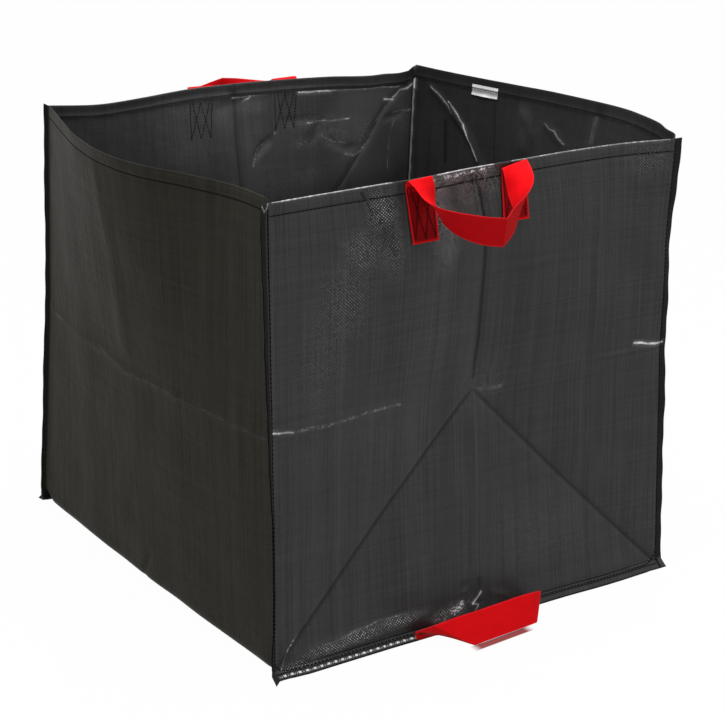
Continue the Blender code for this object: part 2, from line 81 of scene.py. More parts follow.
# The body, with the same dimensions as the solids
body_width = 0.612
body_depth = 0.640
rim_height = 0.605
seam_allowance = 0.014
seam_stitch = 0.003
seam_lift = 0.0102
floor_gap = 0.0012
base_slope = 0.020
base_radius = 0.020
hem_depth = 0.020
hem_stitch = 0.016
layers = 0.0013
crease_height = 0.325
centre_in = {FRONT: 0.040, BACK: 0.028}
centre_drop = {FRONT: -0.0115, BACK: 0.0}
crease_bulge = {LEFT: 0.026, RIGHT: 0.028}
foot_bulge = {LEFT: 0.0065, RIGHT: 0.008}
bulge_roundness = 1.7
rim_in = {FRONT: mm(0, 4, 5, 6, 13, 17, 20, 17, 0), BACK: mm(0, 9, 5, 0, 0, 2, 8, 14, 0)}
rim_lift = {FRONT: mm(0, 0.5, 1, 1.5, 2, 2.5, 3, 3.5, 4), BACK: mm(-2, -6, -4, 0, 1, 0, -2, -6, -2)}
rim_bulge = {LEFT: mm(0, 1, 21, 50, 63, 56.5, 41, 20.5, 0), RIGHT: mm(0, 41, 66, 70, 57, 38.5, 24.5, 12, 0)}
side_rim_lift = {
    LEFT: mm(4.5, 3.6, 3.0, 2.4, 3.0, 2.6, 3.4, 2.0, 0),
    RIGHT: mm(0, 1.4, 1.0, 0.4, 2.1, 3.1, 2.9, 2.8, 3.8),
}

# The four corners: how far each is drawn in at the level crease, where it stands off the box at the
# ground and at the rim, and how far its allowance is turned outward, from the ground to the rim
corners = ((LEFT, FRONT), (RIGHT, FRONT), (LEFT, BACK), (RIGHT, BACK))
pinch = dict(zip(corners, mm(1, 10, 5, 5)))
lean = dict(zip(corners, mm(((-1.3, 0), (-7, -2)), ((-1, 4), (-8, 11)), ((-25, 5), (2, -7)), ((0, 4), (5, -5)))))
flange_turn = dict(zip(corners, (
    (0.75, 1.12, 0.90, 0.66, 0.43, 0.34), (-0.12, -0.12, -0.05, -0.20, -0.29, 0.07),
    (1.45, 1.46, 1.50, 1.54, 1.58, 1.60), (0.20, 0.18, 0.15, 0.12, 0.10, 0.10))))

# The webbing and the label
webbing_width = 0.040
webbing_depth = 0.0012
webbing_low = 0.0013      # the sewn ends lie this far off the panel, over the hem's thread
# The middle of each sewn end along x, at the rim and at its lower edge, and its length
sewn_at = dict(zip(corners, mm((-106, -89, 79), (46, 56, 74.5), (-62.5, -66.5, 79), (78.5, 74.5, 79))))
tipping_half = 0.075
tipping_middle = -0.005
tipping_sewn = 0.0098
label_width = 0.054
label_length = 0.018
label_top = 0.0085
label_middle = 0.153
label_hinge = 0.0190
label_thickness = 0.00025
label_gap = 0.0004

half_width = body_width / 2
half_depth = body_depth / 2
margin_angle = math.acos((seam_lift - floor_gap - 0.001) / seam_allowance)
cloth = 0.00025           # one layer, as thick as the real cloth
hem_turn = 0.0009         # radius of the rim's fold, and at the seams
hem_flat = 0.0003
floor_clear = 0.0003
stitch_pitch = 0.0056
thread_radius = 0.0006
seam_thread_radius = 0.00075
end_stitch = {"pitch": 0.0042, "share": 0.90, "radius": 0.00058}
end_stitch_inside = {"pitch": 0.0046, "share": 0.62, "radius": 0.00075}
tipping_stitch = {"pitch": 0.0032, "share": 0.90, "radius": 0.0003}
thread_gap = 0.0001       # between a strap or the cloth and the thread over it
foot_gap = 0.0003         # between the front foot's allowance and the tipping handle
hem_dent = 0.0006
hem_swell = 0.0005
inside_start = 0.004      # below the rim, where the hem's turned-in layer begins
fold_rows, inside_rows = 7, 6
painted_shade_width = 0.0026       # of the dark line along a sharp fold
probe = 0.0015            # the step for reading a direction off the cloth

# The fold down the middle of each panel: its place across, at these heights
fold_heights = mm(10, 135, 233, 313.5, 390, 455, 495, 542, 584, 605)
fold_x = {
    FRONT: mm(-6, 0, 6, 8, 13.6, 13.4, 13.2, 6, -8, -16.5),
    BACK: mm(0, 0, 0, 0, -2, -4, -6, -8, -10, -11),
}

# Creases of each sheet: width, height out from the bag, fade at the ends, darkness of the shade painted along it,
# places
creases = {
    "front": lines(2, 2,
        (6, 1.6, 0, 0.1, -306, 325, -200, 325), (6, 0.7, 0.2, 0, -220, 325, -10, 325),
        (7, 0.6, 0.2, 0, 10, 325, 240, 325), (5, 1.4, 0, 0.1, 220, 325, 306, 325),
        (4.5, -1.6, 0.03, 0.8, 0, 318, -304, 12), (4.5, -1.6, 0.03, 0.8, 4, 318, 304, 12),
        (5, -1.8, 0.1, 0.8, 0, 330, 0, 600), (7, 1.5, 0.2, 0.2, 0, 20, 0, 300),
        (6, 2.2, 0.25, 0, -184, 602, -172, 583, -156, 550, -144, 515),
        (6, -3.6, 0.25, 0, -172, 598, -160, 574, -146, 545, -136, 515),
        (6, 1.2, 0.3, 0, -235, 545, -205, 536, -190, 512), (6, 1.6, 0.3, 0, 14, 320, 30, 317, 50, 317),
        (6, 2.2, 0.2, 0, -60, 12, -40, 21, -12, 24), (3, 2.8, 0.2, 0, -10, 20, 4, 27, 14, 40),
        (3, 2.6, 0.3, 0, 2, 24, 16, 14), (3.5, -2.2, 0.2, 0.4, 10, 60, 10, 36, 4, 20),
        (4, -1.4, 0.3, 0.2, -4, 56, -26, 50), (6, 1.4, 0.3, 0, 20, 35, 60, 20),
        (11, 4.2, 0.15, 0, -290, 16, -190, 24, -50, 26), (10, 1.2, 0.15, 0, 0, 16, 150, 20, 290, 16),
        (3.5, 1.4, 0.2, 0, -304, 12, -292, 40, -284, 52),
    ),
    "back": lines(2, 2,
        (4.5, 1.4, 0.12, 0, 310, 578, 290, 576, 266, 566, 251, 551, 239, 535, 210, 486, 178, 440, 140, 390),
        (5, 1.8, 0.05, 0.3, 0, 330, 0, 600), (5, 2.2, 0.3, 0, 26, 488, 38, 505, 60, 520),
        (3.5, 1.4, 0.3, 0, 70, 542, 135, 540), (4, 1.8, 0.3, 0, 140, 512, 183, 491, 215, 494),
        (4, 1.6, 0.3, 0, 243, 532, 293, 540), (4, 1.2, 0.3, 0, -50, 560, -20, 572, 20, 576),
        (6, 1.2, 0, 0.1, -306, 325, 306, 325), (4.5, -1.4, 0.03, 0.6, 0, 318, -304, 12),
        (4.5, -1.4, 0.03, 0.6, 0, 318, 304, 12), (8, 1.8, 0.3, 0, 150, 560, 120, 500, 118, 430),
    ),
    "left": lines(2, 2,
        (6, 1.2, 0, 0.1, -320, 322, -100, 316), (6, 1.4, 0, 0.1, -120, 318, 20, 309, 100, 317, 320, 312),
        (16, 1.4, 0.12, 0, 34, 600, 26, 536, 21, 484, 12, 314), (5, -2, 0.3, 0.2, 20, 4, -7, 42, -30, 75),
        (12, 1.6, 0.3, 0, -200, 586, -240, 540, -250, 450),
    ),
    "right": lines(2, 2,
        (5, -3.6, 0.12, 0, 229, 565, 223, 546, 197, 526, 175, 507, 159, 485, 100, 420),
        (5, -2.4, 0.3, 0, 290, 581, 260, 568, 228, 546), (7, -2.4, 0.3, 0, 85, 580, 58, 553, 42, 520),
        (5, -2.2, 0.3, 0, 32, 560, 5, 547, -20, 530), (8, 2.5, 0.2, 0, -76, 604, -80, 556, -70, 500),
        (10, -2.2, 0.3, 0, 80, 575, 60, 500), (6, 1.4, 0, 0.1, -320, 325, 320, 325),
    ),
}

# Broad swells of each sheet: across, up, reach across, reach up, height out
swells = {
    "front": mm((-170, 470, 90, 130, 4), (-60, 550, 50, 50, 1.5), (160, 450, 110, 120, 2),
                (-220, 170, 70, 100, 2), (220, 160, 70, 100, 2), (0, 120, 100, 60, 1.5)),
    "back": mm((-150, 460, 90, 120, 3), (170, 420, 80, 120, 2)),
    "left": mm((-170, 460, 80, 120, 2), (180, 450, 80, 130, 2)),
    "right": mm((100, 450, 100, 120, 2)),
}


# Small helpers

def lerp(a, b, t):
    return a + (b - a) * t


def step(low, high, x):
    t = np.clip((x - low) / (high - low), 0, 1)
    return t * t * (3 - 2 * t)


def hill(x, width):
    """1 at x = 0, falling off over the width."""
    return np.exp(-(x / width) ** 2)


def arrays(*values):
    return np.broadcast_arrays(*(np.asarray(v, float) for v in values))


def unit(v):
    return v / np.maximum(np.linalg.norm(v, axis=-1, keepdims=True), 1e-12)


def smooth(places, values, t):
    """A smooth curve through values at rising places, read at t."""
    p, v, t = np.asarray(places, float), np.asarray(values, float), np.asarray(t, float)
    flat = v.reshape(len(p), -1)
    run = np.diff(p)
    slope = np.diff(flat, axis=0) / run[:, None]
    inner = (slope[:-1] * run[1:, None] + slope[1:] * run[:-1, None]) / (run[:-1] + run[1:])[:, None]
    tangent = np.concatenate([slope[:1], inner, slope[-1:]])
    k = np.clip(np.searchsorted(p, t, side="right") - 1, 0, len(p) - 2)
    f = np.clip((t - p[k]) / run[k], 0, 1)[..., None]
    reach = run[k][..., None]
    out = ((2 * f ** 3 - 3 * f ** 2 + 1) * flat[k] + (f ** 3 - 2 * f ** 2 + f) * reach * tangent[k]
           + (3 * f ** 2 - 2 * f ** 3) * flat[k + 1] + (f ** 3 - f ** 2) * reach * tangent[k + 1])
    return out.reshape(t.shape + v.shape[1:])


def curve(values, t):
    """A smooth curve through equally spaced values, at t = -1 to 1."""
    return smooth(np.linspace(-1, 1, len(values)), values, t)


def soft_min(a, b, k=0.012):
    return (a + b - np.sqrt((a - b) ** 2 + k * k)) / 2


def near(points, x, z):
    """Distance to a line through points, and the share of the line where it is nearest."""
    p = np.array(points, float)
    runs = np.linalg.norm(p[1:] - p[:-1], axis=1)
    total, done = runs.sum(), 0.0
    best, share = np.full(np.shape(x), 1e9), np.zeros(np.shape(x))
    for a, b, run in zip(p[:-1], p[1:], runs):
        d = (b - a) / run
        t = np.clip((x - a[0]) * d[0] + (z - a[1]) * d[1], 0, run)
        dist = np.hypot(x - a[0] - t * d[0], z - a[1] - t * d[1])
        closer = dist < best
        best = np.where(closer, dist, best)
        share = np.where(closer, (done + t) / total, share)
        done += run
    return best, share


def relief(sheet, x, z):
    """How far a sheet's creases and swells stand out."""
    out = np.zeros(np.shape(x))
    for points, width, height, fade, _ in creases[sheet]:
        dist, share = near(points, x, z)
        if fade:
            tips = step(0, fade, share) * step(0, fade, 1 - share)
        else:
            tips = hill(np.maximum(dist - width, 0), width)
        out += height * tips * hill(dist, width)
    for cx, cz, rx, rz, height in swells[sheet]:
        out += height * hill(x - cx, rx) * hill(z - cz, rz)
    return out


def darkness(sheet, x, z):
    """1 along a sharp fold, where shade is painted into the cloth's colour."""
    dark = np.zeros(np.shape(x))
    for points, _, _, fade, amount in creases[sheet]:
        if amount:
            dist, share = near(points, x, z)
            tips = step(0, fade, share) * step(0, fade, 1 - share) if fade else 1.0
            dark = np.maximum(dark, amount * tips * hill(dist, painted_shade_width))
    return dark


def ripple(seed, x, z):
    """Gentle unevenness of the cloth, always the same for one seed."""
    draw = np.random.default_rng(seed)
    out = np.zeros(np.shape(x))
    for _ in range(14):
        angle, phase = draw.uniform(0, math.pi), draw.uniform(0, 2 * math.pi)
        wave = draw.uniform(0.05, 0.16)
        out += wave * np.sin((x * math.cos(angle) + z * math.sin(angle)) * 2 * math.pi / wave + phase)
    return out * 0.0013


# The shape of the cloth

def low_share(h):
    """0 at the seam and 1 at the level crease."""
    return np.clip((h - seam_lift) / (crease_height - seam_lift), 0, 1)


def high_share(h):
    """0 at the level crease and 1 at the rim."""
    return np.clip((h - crease_height) / (rim_height - crease_height), 0, 1)


def crease_share(h):
    return np.minimum(low_share(h), 1 - high_share(h))


def hem_relief(h):
    """The hem: pulled in at its stitches, swelling above them."""
    dent = hem_dent * hill(rim_height - hem_stitch - h, 0.002)
    return hem_swell * hill(rim_height - 0.007 - h, 0.006) - dent


def corner(side, face, h):
    low, high = lean[side, face]
    x = side * half_width + lerp(low[0], high[0], h / rim_height)
    y = face * half_depth + lerp(low[1], high[1], h / rim_height)
    if (side, face) == (RIGHT, FRONT):
        x = x - 0.0032 * hill(h - 0.49, 0.06)
    return x - side * pinch[side, face] * crease_share(h), y


def flange_angle(side, face, h):
    """How far a vertical seam's allowance is turned out of its panel's plane."""
    turned = curve(flange_turn[side, face], np.clip(2 * h / rim_height - 1, -1, 1))
    return turned + 0.03 * np.sin(h * 23 + 2 * side + face)


def panel(face, u, h, depth=0.0):
    """Points of the front or back cloth, depth inward from its outer face.

    u runs from -1 at the left seam to 1 at the right, and h up along the cloth.
    """
    u, h, depth = arrays(u, h, depth)
    level = np.maximum(h, seam_lift)
    xl, yl = corner(LEFT, face, level)
    xr, yr = corner(RIGHT, face, level)
    inside = np.clip(u, -1, 1)
    x, y = lerp(xl, xr, (inside + 1) / 2), lerp(yl, yr, (inside + 1) / 2)
    reach = np.maximum(0, 1 - np.sqrt(u ** 2 + 0.0001))
    climb = high_share(level)
    x = x + (np.interp(level, fold_heights, fold_x[face]) - (xl + xr) / 2) * reach
    inset = lerp(centre_in[face] * soft_min(low_share(level), reach), curve(rim_in[face], u), climb)
    top = curve(rim_lift[face], u)
    if face == BACK:
        top = top - 0.005 * step(0.78, 0.93, u) * (1 - step(0.965, 1.0, u))
    z = level + climb * top + centre_drop[face] * reach * crease_share(level)
    flat = u * half_width
    inner = step(0.0, 0.06, 1 - abs(u))
    out = relief(face_words[face], flat, level) * step(-0.002, 0.006, (1 - abs(u)) * half_width)
    out = out + (ripple(3 + face, flat, level) + hem_relief(level)) * inner
    beyond = np.maximum(0, abs(u) - 1) * half_width
    waves = 0.0007 * np.sin(level * 47 + 2 * u) + 0.0006 * np.sin(level * 131 + u)
    out = out + beyond / seam_allowance * waves
    y = y + face * (out - inset)
    turned = np.where(u < 0, flange_angle(LEFT, face, level), flange_angle(RIGHT, face, level))
    turned = turned * step(0, 0.003, beyond)
    x = x + np.where(u < 0, LEFT, RIGHT) * (beyond * np.cos(turned) + depth * np.sin(turned))
    y = y + face * (beyond * np.sin(turned) + depth * (1 - np.cos(turned)))
    below = np.maximum(0, seam_lift - h)
    tilt = margin_angle * step(-0.0015, 0.0015, seam_lift - h)
    y = y + face * (below * math.sin(margin_angle) - depth * np.cos(tilt))
    z = z - below * math.cos(margin_angle) - depth * np.sin(tilt)
    return np.stack([x, y, z], -1)


def bulge(side, s, h):
    """How far a side wall stands out between its front seam, s = -1, and its back seam."""
    rounded = 1 - np.minimum(abs(s), 1) ** bulge_roundness
    rim = curve(rim_bulge[side], s)
    if side == RIGHT:
        rim = rim + 0.009 * hill(s + 0.93, 0.07) + 0.003 * hill(s + 0.76, 0.08)
        rim = rim * step(0, 0.03, 1 - abs(s))
    return lerp(lerp(foot_bulge[side], crease_bulge[side], low_share(h)) * rounded, rim, high_share(h))


strip_foot = half_width - base_radius + base_radius * math.pi / 2 - (seam_lift + base_radius)
strip_s = np.concatenate([[-1.0], np.linspace(-1 + 0.004, 1 - 0.004, 121), [1.0]])
flange_out = np.array([1.0, 0.82, 0.64, 0.46, 0.28, 0.12]) * seam_allowance
flange_rows = len(flange_out)
strip_count = 2 * flange_rows + len(strip_s)


def strip(side, inset, h, angle, depth=0.0):
    """A row of the strip from its front allowance to its back one; h and depth per column."""
    h, depth = np.broadcast_to(h, strip_count), np.broadcast_to(depth, strip_count)
    n = flange_rows
    u = side * (1 - inset / half_width)
    rows = []
    for face, part, out in ((FRONT, slice(0, n), flange_out), (BACK, slice(-n, None), flange_out[::-1])):
        u_out = side * (1 - (inset - out * math.cos(angle)) / half_width)
        rows.append(panel(face, u_out, h[part] - out * math.sin(angle), layers - depth[part]))
    hs, ds = h[n:-n], depth[n:-n]
    edge = 1 - abs(strip_s)
    wall = lerp(panel(FRONT, u, hs, layers), panel(BACK, u, hs, layers), ((strip_s + 1) / 2)[:, None])
    lifted = layers * math.sin(margin_angle / 2)
    drop = (seam_lift - lifted - floor_clear) * (rim_height - hs) / (rim_height - seam_lift)
    wall[:, 2] -= drop * step(0, base_slope, edge * half_depth)
    wall[:, 2] += high_share(hs) * curve(side_rim_lift[side], strip_s) * step(0, 0.016, edge)
    y = strip_s * half_depth
    stand = bulge(side, strip_s, hs) + relief(side_words[side], y, hs) * step(-0.002, 0.006, edge * half_depth)
    stand = stand + (ripple(11 + side, y, hs) + hem_relief(hs)) * step(0.0, 0.05, edge)
    wall[:, 0] += side * (stand - ds) * math.cos(angle)
    return np.concatenate([rows[0], wall, rows[1]])


# Meshes

def add_object(name, data):
    item = bpy.data.objects.new(name, data)
    bpy.context.scene.collection.objects.link(item)
    return item


def make_mesh(name, points, faces, uv, fold, material):
    """A mesh with a place on the cloth for each point, in metres, for the weave."""
    mesh = bpy.data.meshes.new(name)
    mesh.from_pydata(points.tolist(), [], faces)
    mesh.materials.append(material)
    loops = np.zeros(len(mesh.loops), np.int32)
    mesh.loops.foreach_get("vertex_index", loops)
    layer = mesh.uv_layers.new(name="cloth")
    layer.data.foreach_set("uv", np.asarray(uv, np.float32)[loops].ravel())
    # The fold attribute holds painted shade: how far each point's colour is darkened.
    attribute = mesh.attributes.new("fold", "FLOAT", "POINT")
    attribute.data.foreach_set("value", np.asarray(fold, np.float32))
    mesh.shade_smooth()
    mesh.set_sharp_from_angle(angle=math.radians(50))
    return add_object(name, mesh)


def grid_normals(p):
    return unit(np.cross(np.gradient(p, axis=1), np.gradient(p, axis=0)))


def grid_uv(across, along):
    return np.stack(np.broadcast_arrays(across[None, :], np.asarray(along)[:, None]), -1)


def thick(name, p, thickness, uv, fold, material, slant=None, normals=None):
    """A closed sheet from its outer face, a grid of points; slant says which way each square is cut in two."""
    n = grid_normals(p) if normals is None else normals
    t = np.broadcast_to(thickness, p.shape[:2])[..., None]
    points = np.concatenate([p.reshape(-1, 3), (p - n * t).reshape(-1, 3)])
    half = p.shape[0] * p.shape[1]
    index = np.arange(half).reshape(p.shape[:2])
    quads = np.stack([index[:-1, :-1], index[:-1, 1:], index[1:, 1:], index[1:, :-1]], -1).reshape(-1, 4)
    if slant is None:
        faces = quads.tolist() + (quads[:, [0, 3, 2, 1]] + half).tolist()
    else:
        fall = slant.reshape(-1, 1)
        both = np.concatenate([np.where(fall, quads[:, [0, 1, 3]], quads[:, :3]),
                               np.where(fall, quads[:, 1:], quads[:, [0, 2, 3]])])
        faces = both.tolist() + (both[:, ::-1] + half).tolist()
    ring = list(index[0, :]) + list(index[1:, -1]) + list(index[-1, -2::-1]) + list(index[-2:0:-1, 0])
    for here, there in zip(ring, ring[1:] + ring[:1]):
        faces.append([there, here, here + half, there + half])
    uv2 = np.tile(uv.reshape(-1, 2), (2, 1))
    fold2 = np.tile(np.broadcast_to(fold, p.shape[:2]).ravel(), 2)
    return make_mesh(name, points, faces, uv2, fold2, material)


# Materials

class Nodes:
    """Short calls for building the nodes of one material, or of the world."""

    def __init__(self, block):
        block.use_nodes = True
        self.block, self.tree = block, block.node_tree
        self.surface = self.tree.nodes.get("Principled BSDF") or self.tree.nodes["Background"]

    def fill(self, node, inputs):
        """Link each input to a socket, or set its value."""
        for key, value in inputs.items():
            if isinstance(value, bpy.types.NodeSocket):
                self.tree.links.new(value, node.inputs[key])
            else:
                node.inputs[key].default_value = value
        return node

    def add(self, kind, inputs=None, **settings):
        node = self.tree.nodes.new("ShaderNode" + kind)
        for key, value in settings.items():
            setattr(node, key, value)
        return self.fill(node, inputs or {})

    def math(self, operation, a, b=0.0, c=0.0, **settings):
        return self.add("Math", {0: a, 1: b, 2: c}, operation=operation, **settings).outputs[0]

    def times(self, a, b, plus=None):
        """a times b, with a third value added if there is one."""
        return self.math("MULTIPLY", a, b) if plus is None else self.math("MULTIPLY_ADD", a, b, plus)

    def most(self, first, *rest):
        for value in rest:
            first = self.math("MAXIMUM", first, value)
        return first

    def sine(self, value, wave, share=1.0):
        """A wave along a value, share of a full circle for each wave's length."""
        return self.math("SINE", self.times(value, share * 2 * math.pi / wave))

    def apart(self, a, b):
        return self.math("ABSOLUTE", self.math("SUBTRACT", a, b))

    def mix(self, share, a, b):
        """Two colours mixed, each a socket or (red, green, blue)."""
        a, b = (c if isinstance(c, bpy.types.NodeSocket) else (*c, 1.0) for c in (a, b))
        return self.add("Mix", {0: share, 6: a, 7: b}, data_type="RGBA").outputs[2]

    def noise(self, x, y, scale_x, scale_y, detail=2.0, distortion=0.0):
        place = self.add("CombineXYZ", {0: self.times(x, scale_x), 1: self.times(y, scale_y)})
        inputs = {"Vector": place.outputs[0], "Scale": 1.0, "Detail": detail, "Distortion": distortion}
        return self.add("TexNoise", inputs, noise_dimensions="2D").outputs[0]

    def place(self):
        """The place on the cloth, in metres: across, along and both."""
        uv = self.add("UVMap", uv_map="cloth").outputs[0]
        split = self.add("SeparateXYZ", {0: uv})
        return split.outputs[0], split.outputs[1], uv

    def vector(self, operation, a, b=(0.0, 0.0, 0.0), scale=1.0):
        node = self.add("VectorMath", {0: a, 1: b, 3: scale}, operation=operation)
        return node.outputs["Value" if operation in ("DOT_PRODUCT", "LENGTH") else "Vector"]

    def distance(self, spot, points):
        """How far a spot is from a line through points."""
        nearest = None
        for a, b in zip(points[:-1], points[1:]):
            run = (b[0] - a[0], b[1] - a[1], 0.0)
            square = run[0] ** 2 + run[1] ** 2
            away = self.vector("SUBTRACT", spot, (a[0], a[1], 0.0))
            along = self.vector("DOT_PRODUCT", away, tuple(v / square for v in run))
            share = self.math("MULTIPLY", along, 1.0, use_clamp=True)
            dist = self.vector("LENGTH", self.vector("SUBTRACT", away, self.vector("SCALE", run, scale=share)))
            nearest = dist if nearest is None else self.math("MINIMUM", nearest, dist)
        return nearest

    def range(self, value, low, high, **settings):
        return self.add("MapRange", {"Value": value, "From Min": low, "From Max": high}, **settings).outputs[0]

    def fade(self, value, full, none):
        return self.range(value, none, full, interpolation_type="SMOOTHSTEP")

    # The painted shade stored on the mesh.
    def fold(self):
        return self.add("Attribute", attribute_name="fold").outputs["Fac"]

    def bump(self, height, strength, distance, **below):
        return self.add("Bump", {"Strength": strength, "Distance": distance, "Height": height, **below}).outputs[0]


def woven_cloth(name, dark, pale, rough, shine, painted_glints, painted_sparkle, shadows, beads=(), painted_light=(), right=None):
    """Woven plastic tape: streaks along both tapes, and a raised dot at each crossing.

    Glints along creases and along the rim's fold are painted highlights: (points, half width, strength,
    share broken up). A width below zero keeps its line true.
    Sparkle patches are painted highlights, white dots where the weave shines, and the lighter areas are
    painted light: (across, up, reach across, reach up, strength).
    Shadows are painted shade along sharp folds and seams: (points, half width, strength).
    Beads are painted glints in rows across the sheet: (from, to, up, half width, pitch, strength).
    right holds the two tones of a strip's right half, darker and greyer: painted shade for the inside
    of that wall.
    """
    m = Nodes(bpy.data.materials.new(name))
    x, y, uv = m.place()
    tape = 0.0021
    tape_x, tape_y = (m.math("FLOOR", m.math("DIVIDE", v, tape)) for v in (x, y))
    one_x, one_y = (m.add("TexWhiteNoise", {"W": v}, noise_dimensions="1D").outputs[0] for v in (tape_x, tape_y))
    cell = m.add("CombineXYZ", {0: tape_x, 1: tape_y})
    each = m.add("TexWhiteNoise", {"Vector": cell.outputs[0]}, noise_dimensions="2D").outputs[0]
    streak_x = m.noise(x, y, 420.0, 6.0, 3.0)
    streak_y = m.noise(x, y, 5.0, 420.0, 3.0)
    blotch = m.noise(x, y, 22.0, 14.0, 4.0, 0.4)
    tone = m.times(streak_x, 0.70)
    for value, weight in ((streak_y, 0.44), (m.noise(x, y, 60.0, 1.6), 0.40), (blotch, 0.25),
                          (one_x, 0.22), (one_y, 0.11)):
        tone = m.times(value, weight, tone)
    share = m.range(tone, 0.70, 1.48)
    colour = m.mix(share, dark, pale)
    # The right wall's half is darker and greyer: painted shade for the inside of that wall.
    if right:
        colour = m.mix(m.math("GREATER_THAN", y, 0.0), colour, m.mix(share, *right))
    # Painted light: lighter areas are mixed toward a tone three times the pale one.
    painted_light_tone = [c * 3.0 for c in (right or (dark, pale))[1]]
    for cx, cy, rx, ry, strength in painted_light:
        away = [m.math("POWER", m.math("DIVIDE", m.math("SUBTRACT", v, centre), reach), 2.0)
                for v, centre, reach in ((x, cx, rx), (y, cy, ry))]
        colour = m.mix(m.times(m.fade(m.math("ADD", *away), 0.0, 1.0), strength), colour, painted_light_tone)
    drift = m.add("TexNoise", {"Vector": uv, "Scale": 38.0, "Detail": 2.0}, noise_dimensions="2D")
    drift = m.vector("SUBTRACT", drift.outputs["Color"], (0.5, 0.5, 0.5))
    spot = m.vector("ADD", uv, m.vector("MULTIPLY", drift, (0.0045, 0.0045, 0.0)))
    # Painted shade: the mesh's fold attribute and the shadow lines darken the colour, and make it rougher.
    painted_darkening = m.times(m.fold(), 0.9)
    for points, width, strength in shadows:
        painted_darkening = m.most(painted_darkening, m.times(m.fade(m.distance(uv, points), width * 0.3, width), strength))
    colour = m.mix(painted_darkening, colour, [c * 0.12 for c in dark])
    grain = m.range(m.noise(x, y, 330.0, 330.0, 1.0), 0.42, 0.60)
    patchy = m.range(m.noise(x, y, 60.0, 60.0, 1.0), 0.40, 0.62)
    # Painted highlights: glints along creases, rows of bead glints and sparkling dots mix the colour toward white.
    white = None
    for points, width, strength, broken in painted_glints:
        away = m.distance(uv if width < 0 else spot, points)
        width = abs(width)
        line = m.times(m.fade(away, 0.0, width * 3.5), 0.16, m.fade(away, width * 0.3, width))
        line = m.times(m.times(line, m.times(m.times(grain, patchy), broken, 1.0 - broken)), strength)
        white = line if white is None else m.most(white, line)
    crossing = m.times(m.sine(x, tape, 0.5), m.sine(y, tape, 0.5))
    dots = m.times(m.fade(crossing, 0.80, 0.20), m.math("POWER", each, 0.9))
    for first, last, up, width, pitch, strength in beads:
        row = m.times(m.fade(m.distance(uv, [(first, up), (last, up)]), width * 0.4, width), strength)
        pulse = m.math("SINE", m.times(x, 2 * math.pi / pitch, m.times(blotch, 2.0)))
        white = m.most(white, m.times(row, m.fade(pulse, 0.9, 0.1)))
    # Painted sparkle: white dots where the patches lie.
    for cx, cy, rx, ry, strength in painted_sparkle:
        away = m.vector("MULTIPLY", m.vector("SUBTRACT", spot, (cx, cy, 0.0)), (1 / rx, 1 / ry, 0.0))
        white = m.most(white, m.times(m.times(m.fade(m.vector("LENGTH", away), 0.0, 1.0), dots), strength))
    gloss = m.times(blotch, 0.12, m.times(m.math("SUBTRACT", 1.0, share), 0.08, rough - 0.05))
    weave = m.times(crossing, m.times(each, 1.2, 0.3))
    uneven = m.bump(m.noise(x, y, 55.0, 45.0, 3.0, 0.3), 0.45, 0.0016)
    m.fill(m.surface, {
        "Base Color": m.mix(white, colour, (0.80, 0.81, 0.82)),
        "Roughness": m.most(gloss, m.times(painted_darkening, 0.95)),
        "Normal": m.bump(m.times(streak_x, 0.9, weave), 0.7, 0.00014, Normal=uneven),
        "Specular IOR Level": shine,
    })
    return m.block


def webbing(name):
    """Red webbing: fine ribs across, a row of tape along, and paler edges, a painted highlight."""
    m = Nodes(bpy.data.materials.new(name))
    x, y, _ = m.place()
    fold = m.fold()
    rib_pitch, row_pitch = 0.0016, 0.0014
    weave = m.times(m.sine(x, row_pitch), 0.6, m.sine(y, rib_pitch))
    cloud = m.noise(x, y, 90.0, 40.0, 3.0)
    # Painted highlight: the webbing's edges are mixed toward a paler pink.
    edge = m.range(m.math("ABSOLUTE", x), 0.0175, 0.0198)
    tone = m.times(weave, 0.08, m.times(cloud, 0.5, 0.25))
    colour = m.mix(tone, (0.52, 0.0012, 0.003), (0.74, 0.0025, 0.006))
    # Painted shade from the mesh's fold attribute: darker red, and black where it passes 1.
    colour = m.mix(m.times(fold, 0.85), colour, (0.14, 0.0008, 0.0016))
    colour = m.mix(m.times(edge, 0.35), colour, (0.80, 0.020, 0.030))
    m.fill(m.surface, {
        "Base Color": m.mix(m.fade(fold, 2.0, 1.0), colour, (0.012, 0.0005, 0.0008)),
        "Normal": m.bump(weave, 0.35, 0.00025),
        "Roughness": 0.75,
        "Specular IOR Level": 0.06,
        "Sheen Weight": 0.05,
        "Sheen Roughness": 0.4,
        "Sheen Tint": (1.0, 0.25, 0.25, 1.0),
    })
    return m.block


def thread_material(name):
    m = Nodes(bpy.data.materials.new(name))
    x, y, _ = m.place()
    twist = m.sine(m.math("ADD", x, y), 0.0009)
    colour = m.mix(m.times(twist, 0.5, 0.5), (0.001, 0.001, 0.001), (0.005, 0.005, 0.005))
    m.fill(m.surface, {"Base Color": colour, "Normal": m.bump(twist, 0.4, 0.0001), "Roughness": 0.7,
                       "Specular IOR Level": 0.06})
    return m.block


def ribbon(name):
    """The bare care label: satin ribbon with fine threads across."""
    m = Nodes(bpy.data.materials.new(name))
    x, y, _ = m.place()
    threads = m.noise(x, y, 400.0, 2200.0)
    tone = m.times(threads, 0.5, m.times(m.noise(x, y, 60.0, 90.0), 0.6))
    plain = m.mix(tone, (0.50, 0.505, 0.52), (1.0, 1.0, 1.0))
    # Painted shade under the hem's edge; the dark line of the stitch holes is the thread's.
    painted_darkening = m.times(m.fade(m.apart(y, 0.0205), 0.0012, 0.0042), 0.55)
    holes = m.times(m.fade(m.apart(y, 0.0155), 0.0004, 0.0014), 0.75)
    m.fill(m.surface, {"Base Color": m.mix(m.most(painted_darkening, holes), plain, (0.08, 0.08, 0.085)),
                       "Normal": m.bump(threads, 0.3, 0.0001), "Roughness": 0.35})
    return m.block
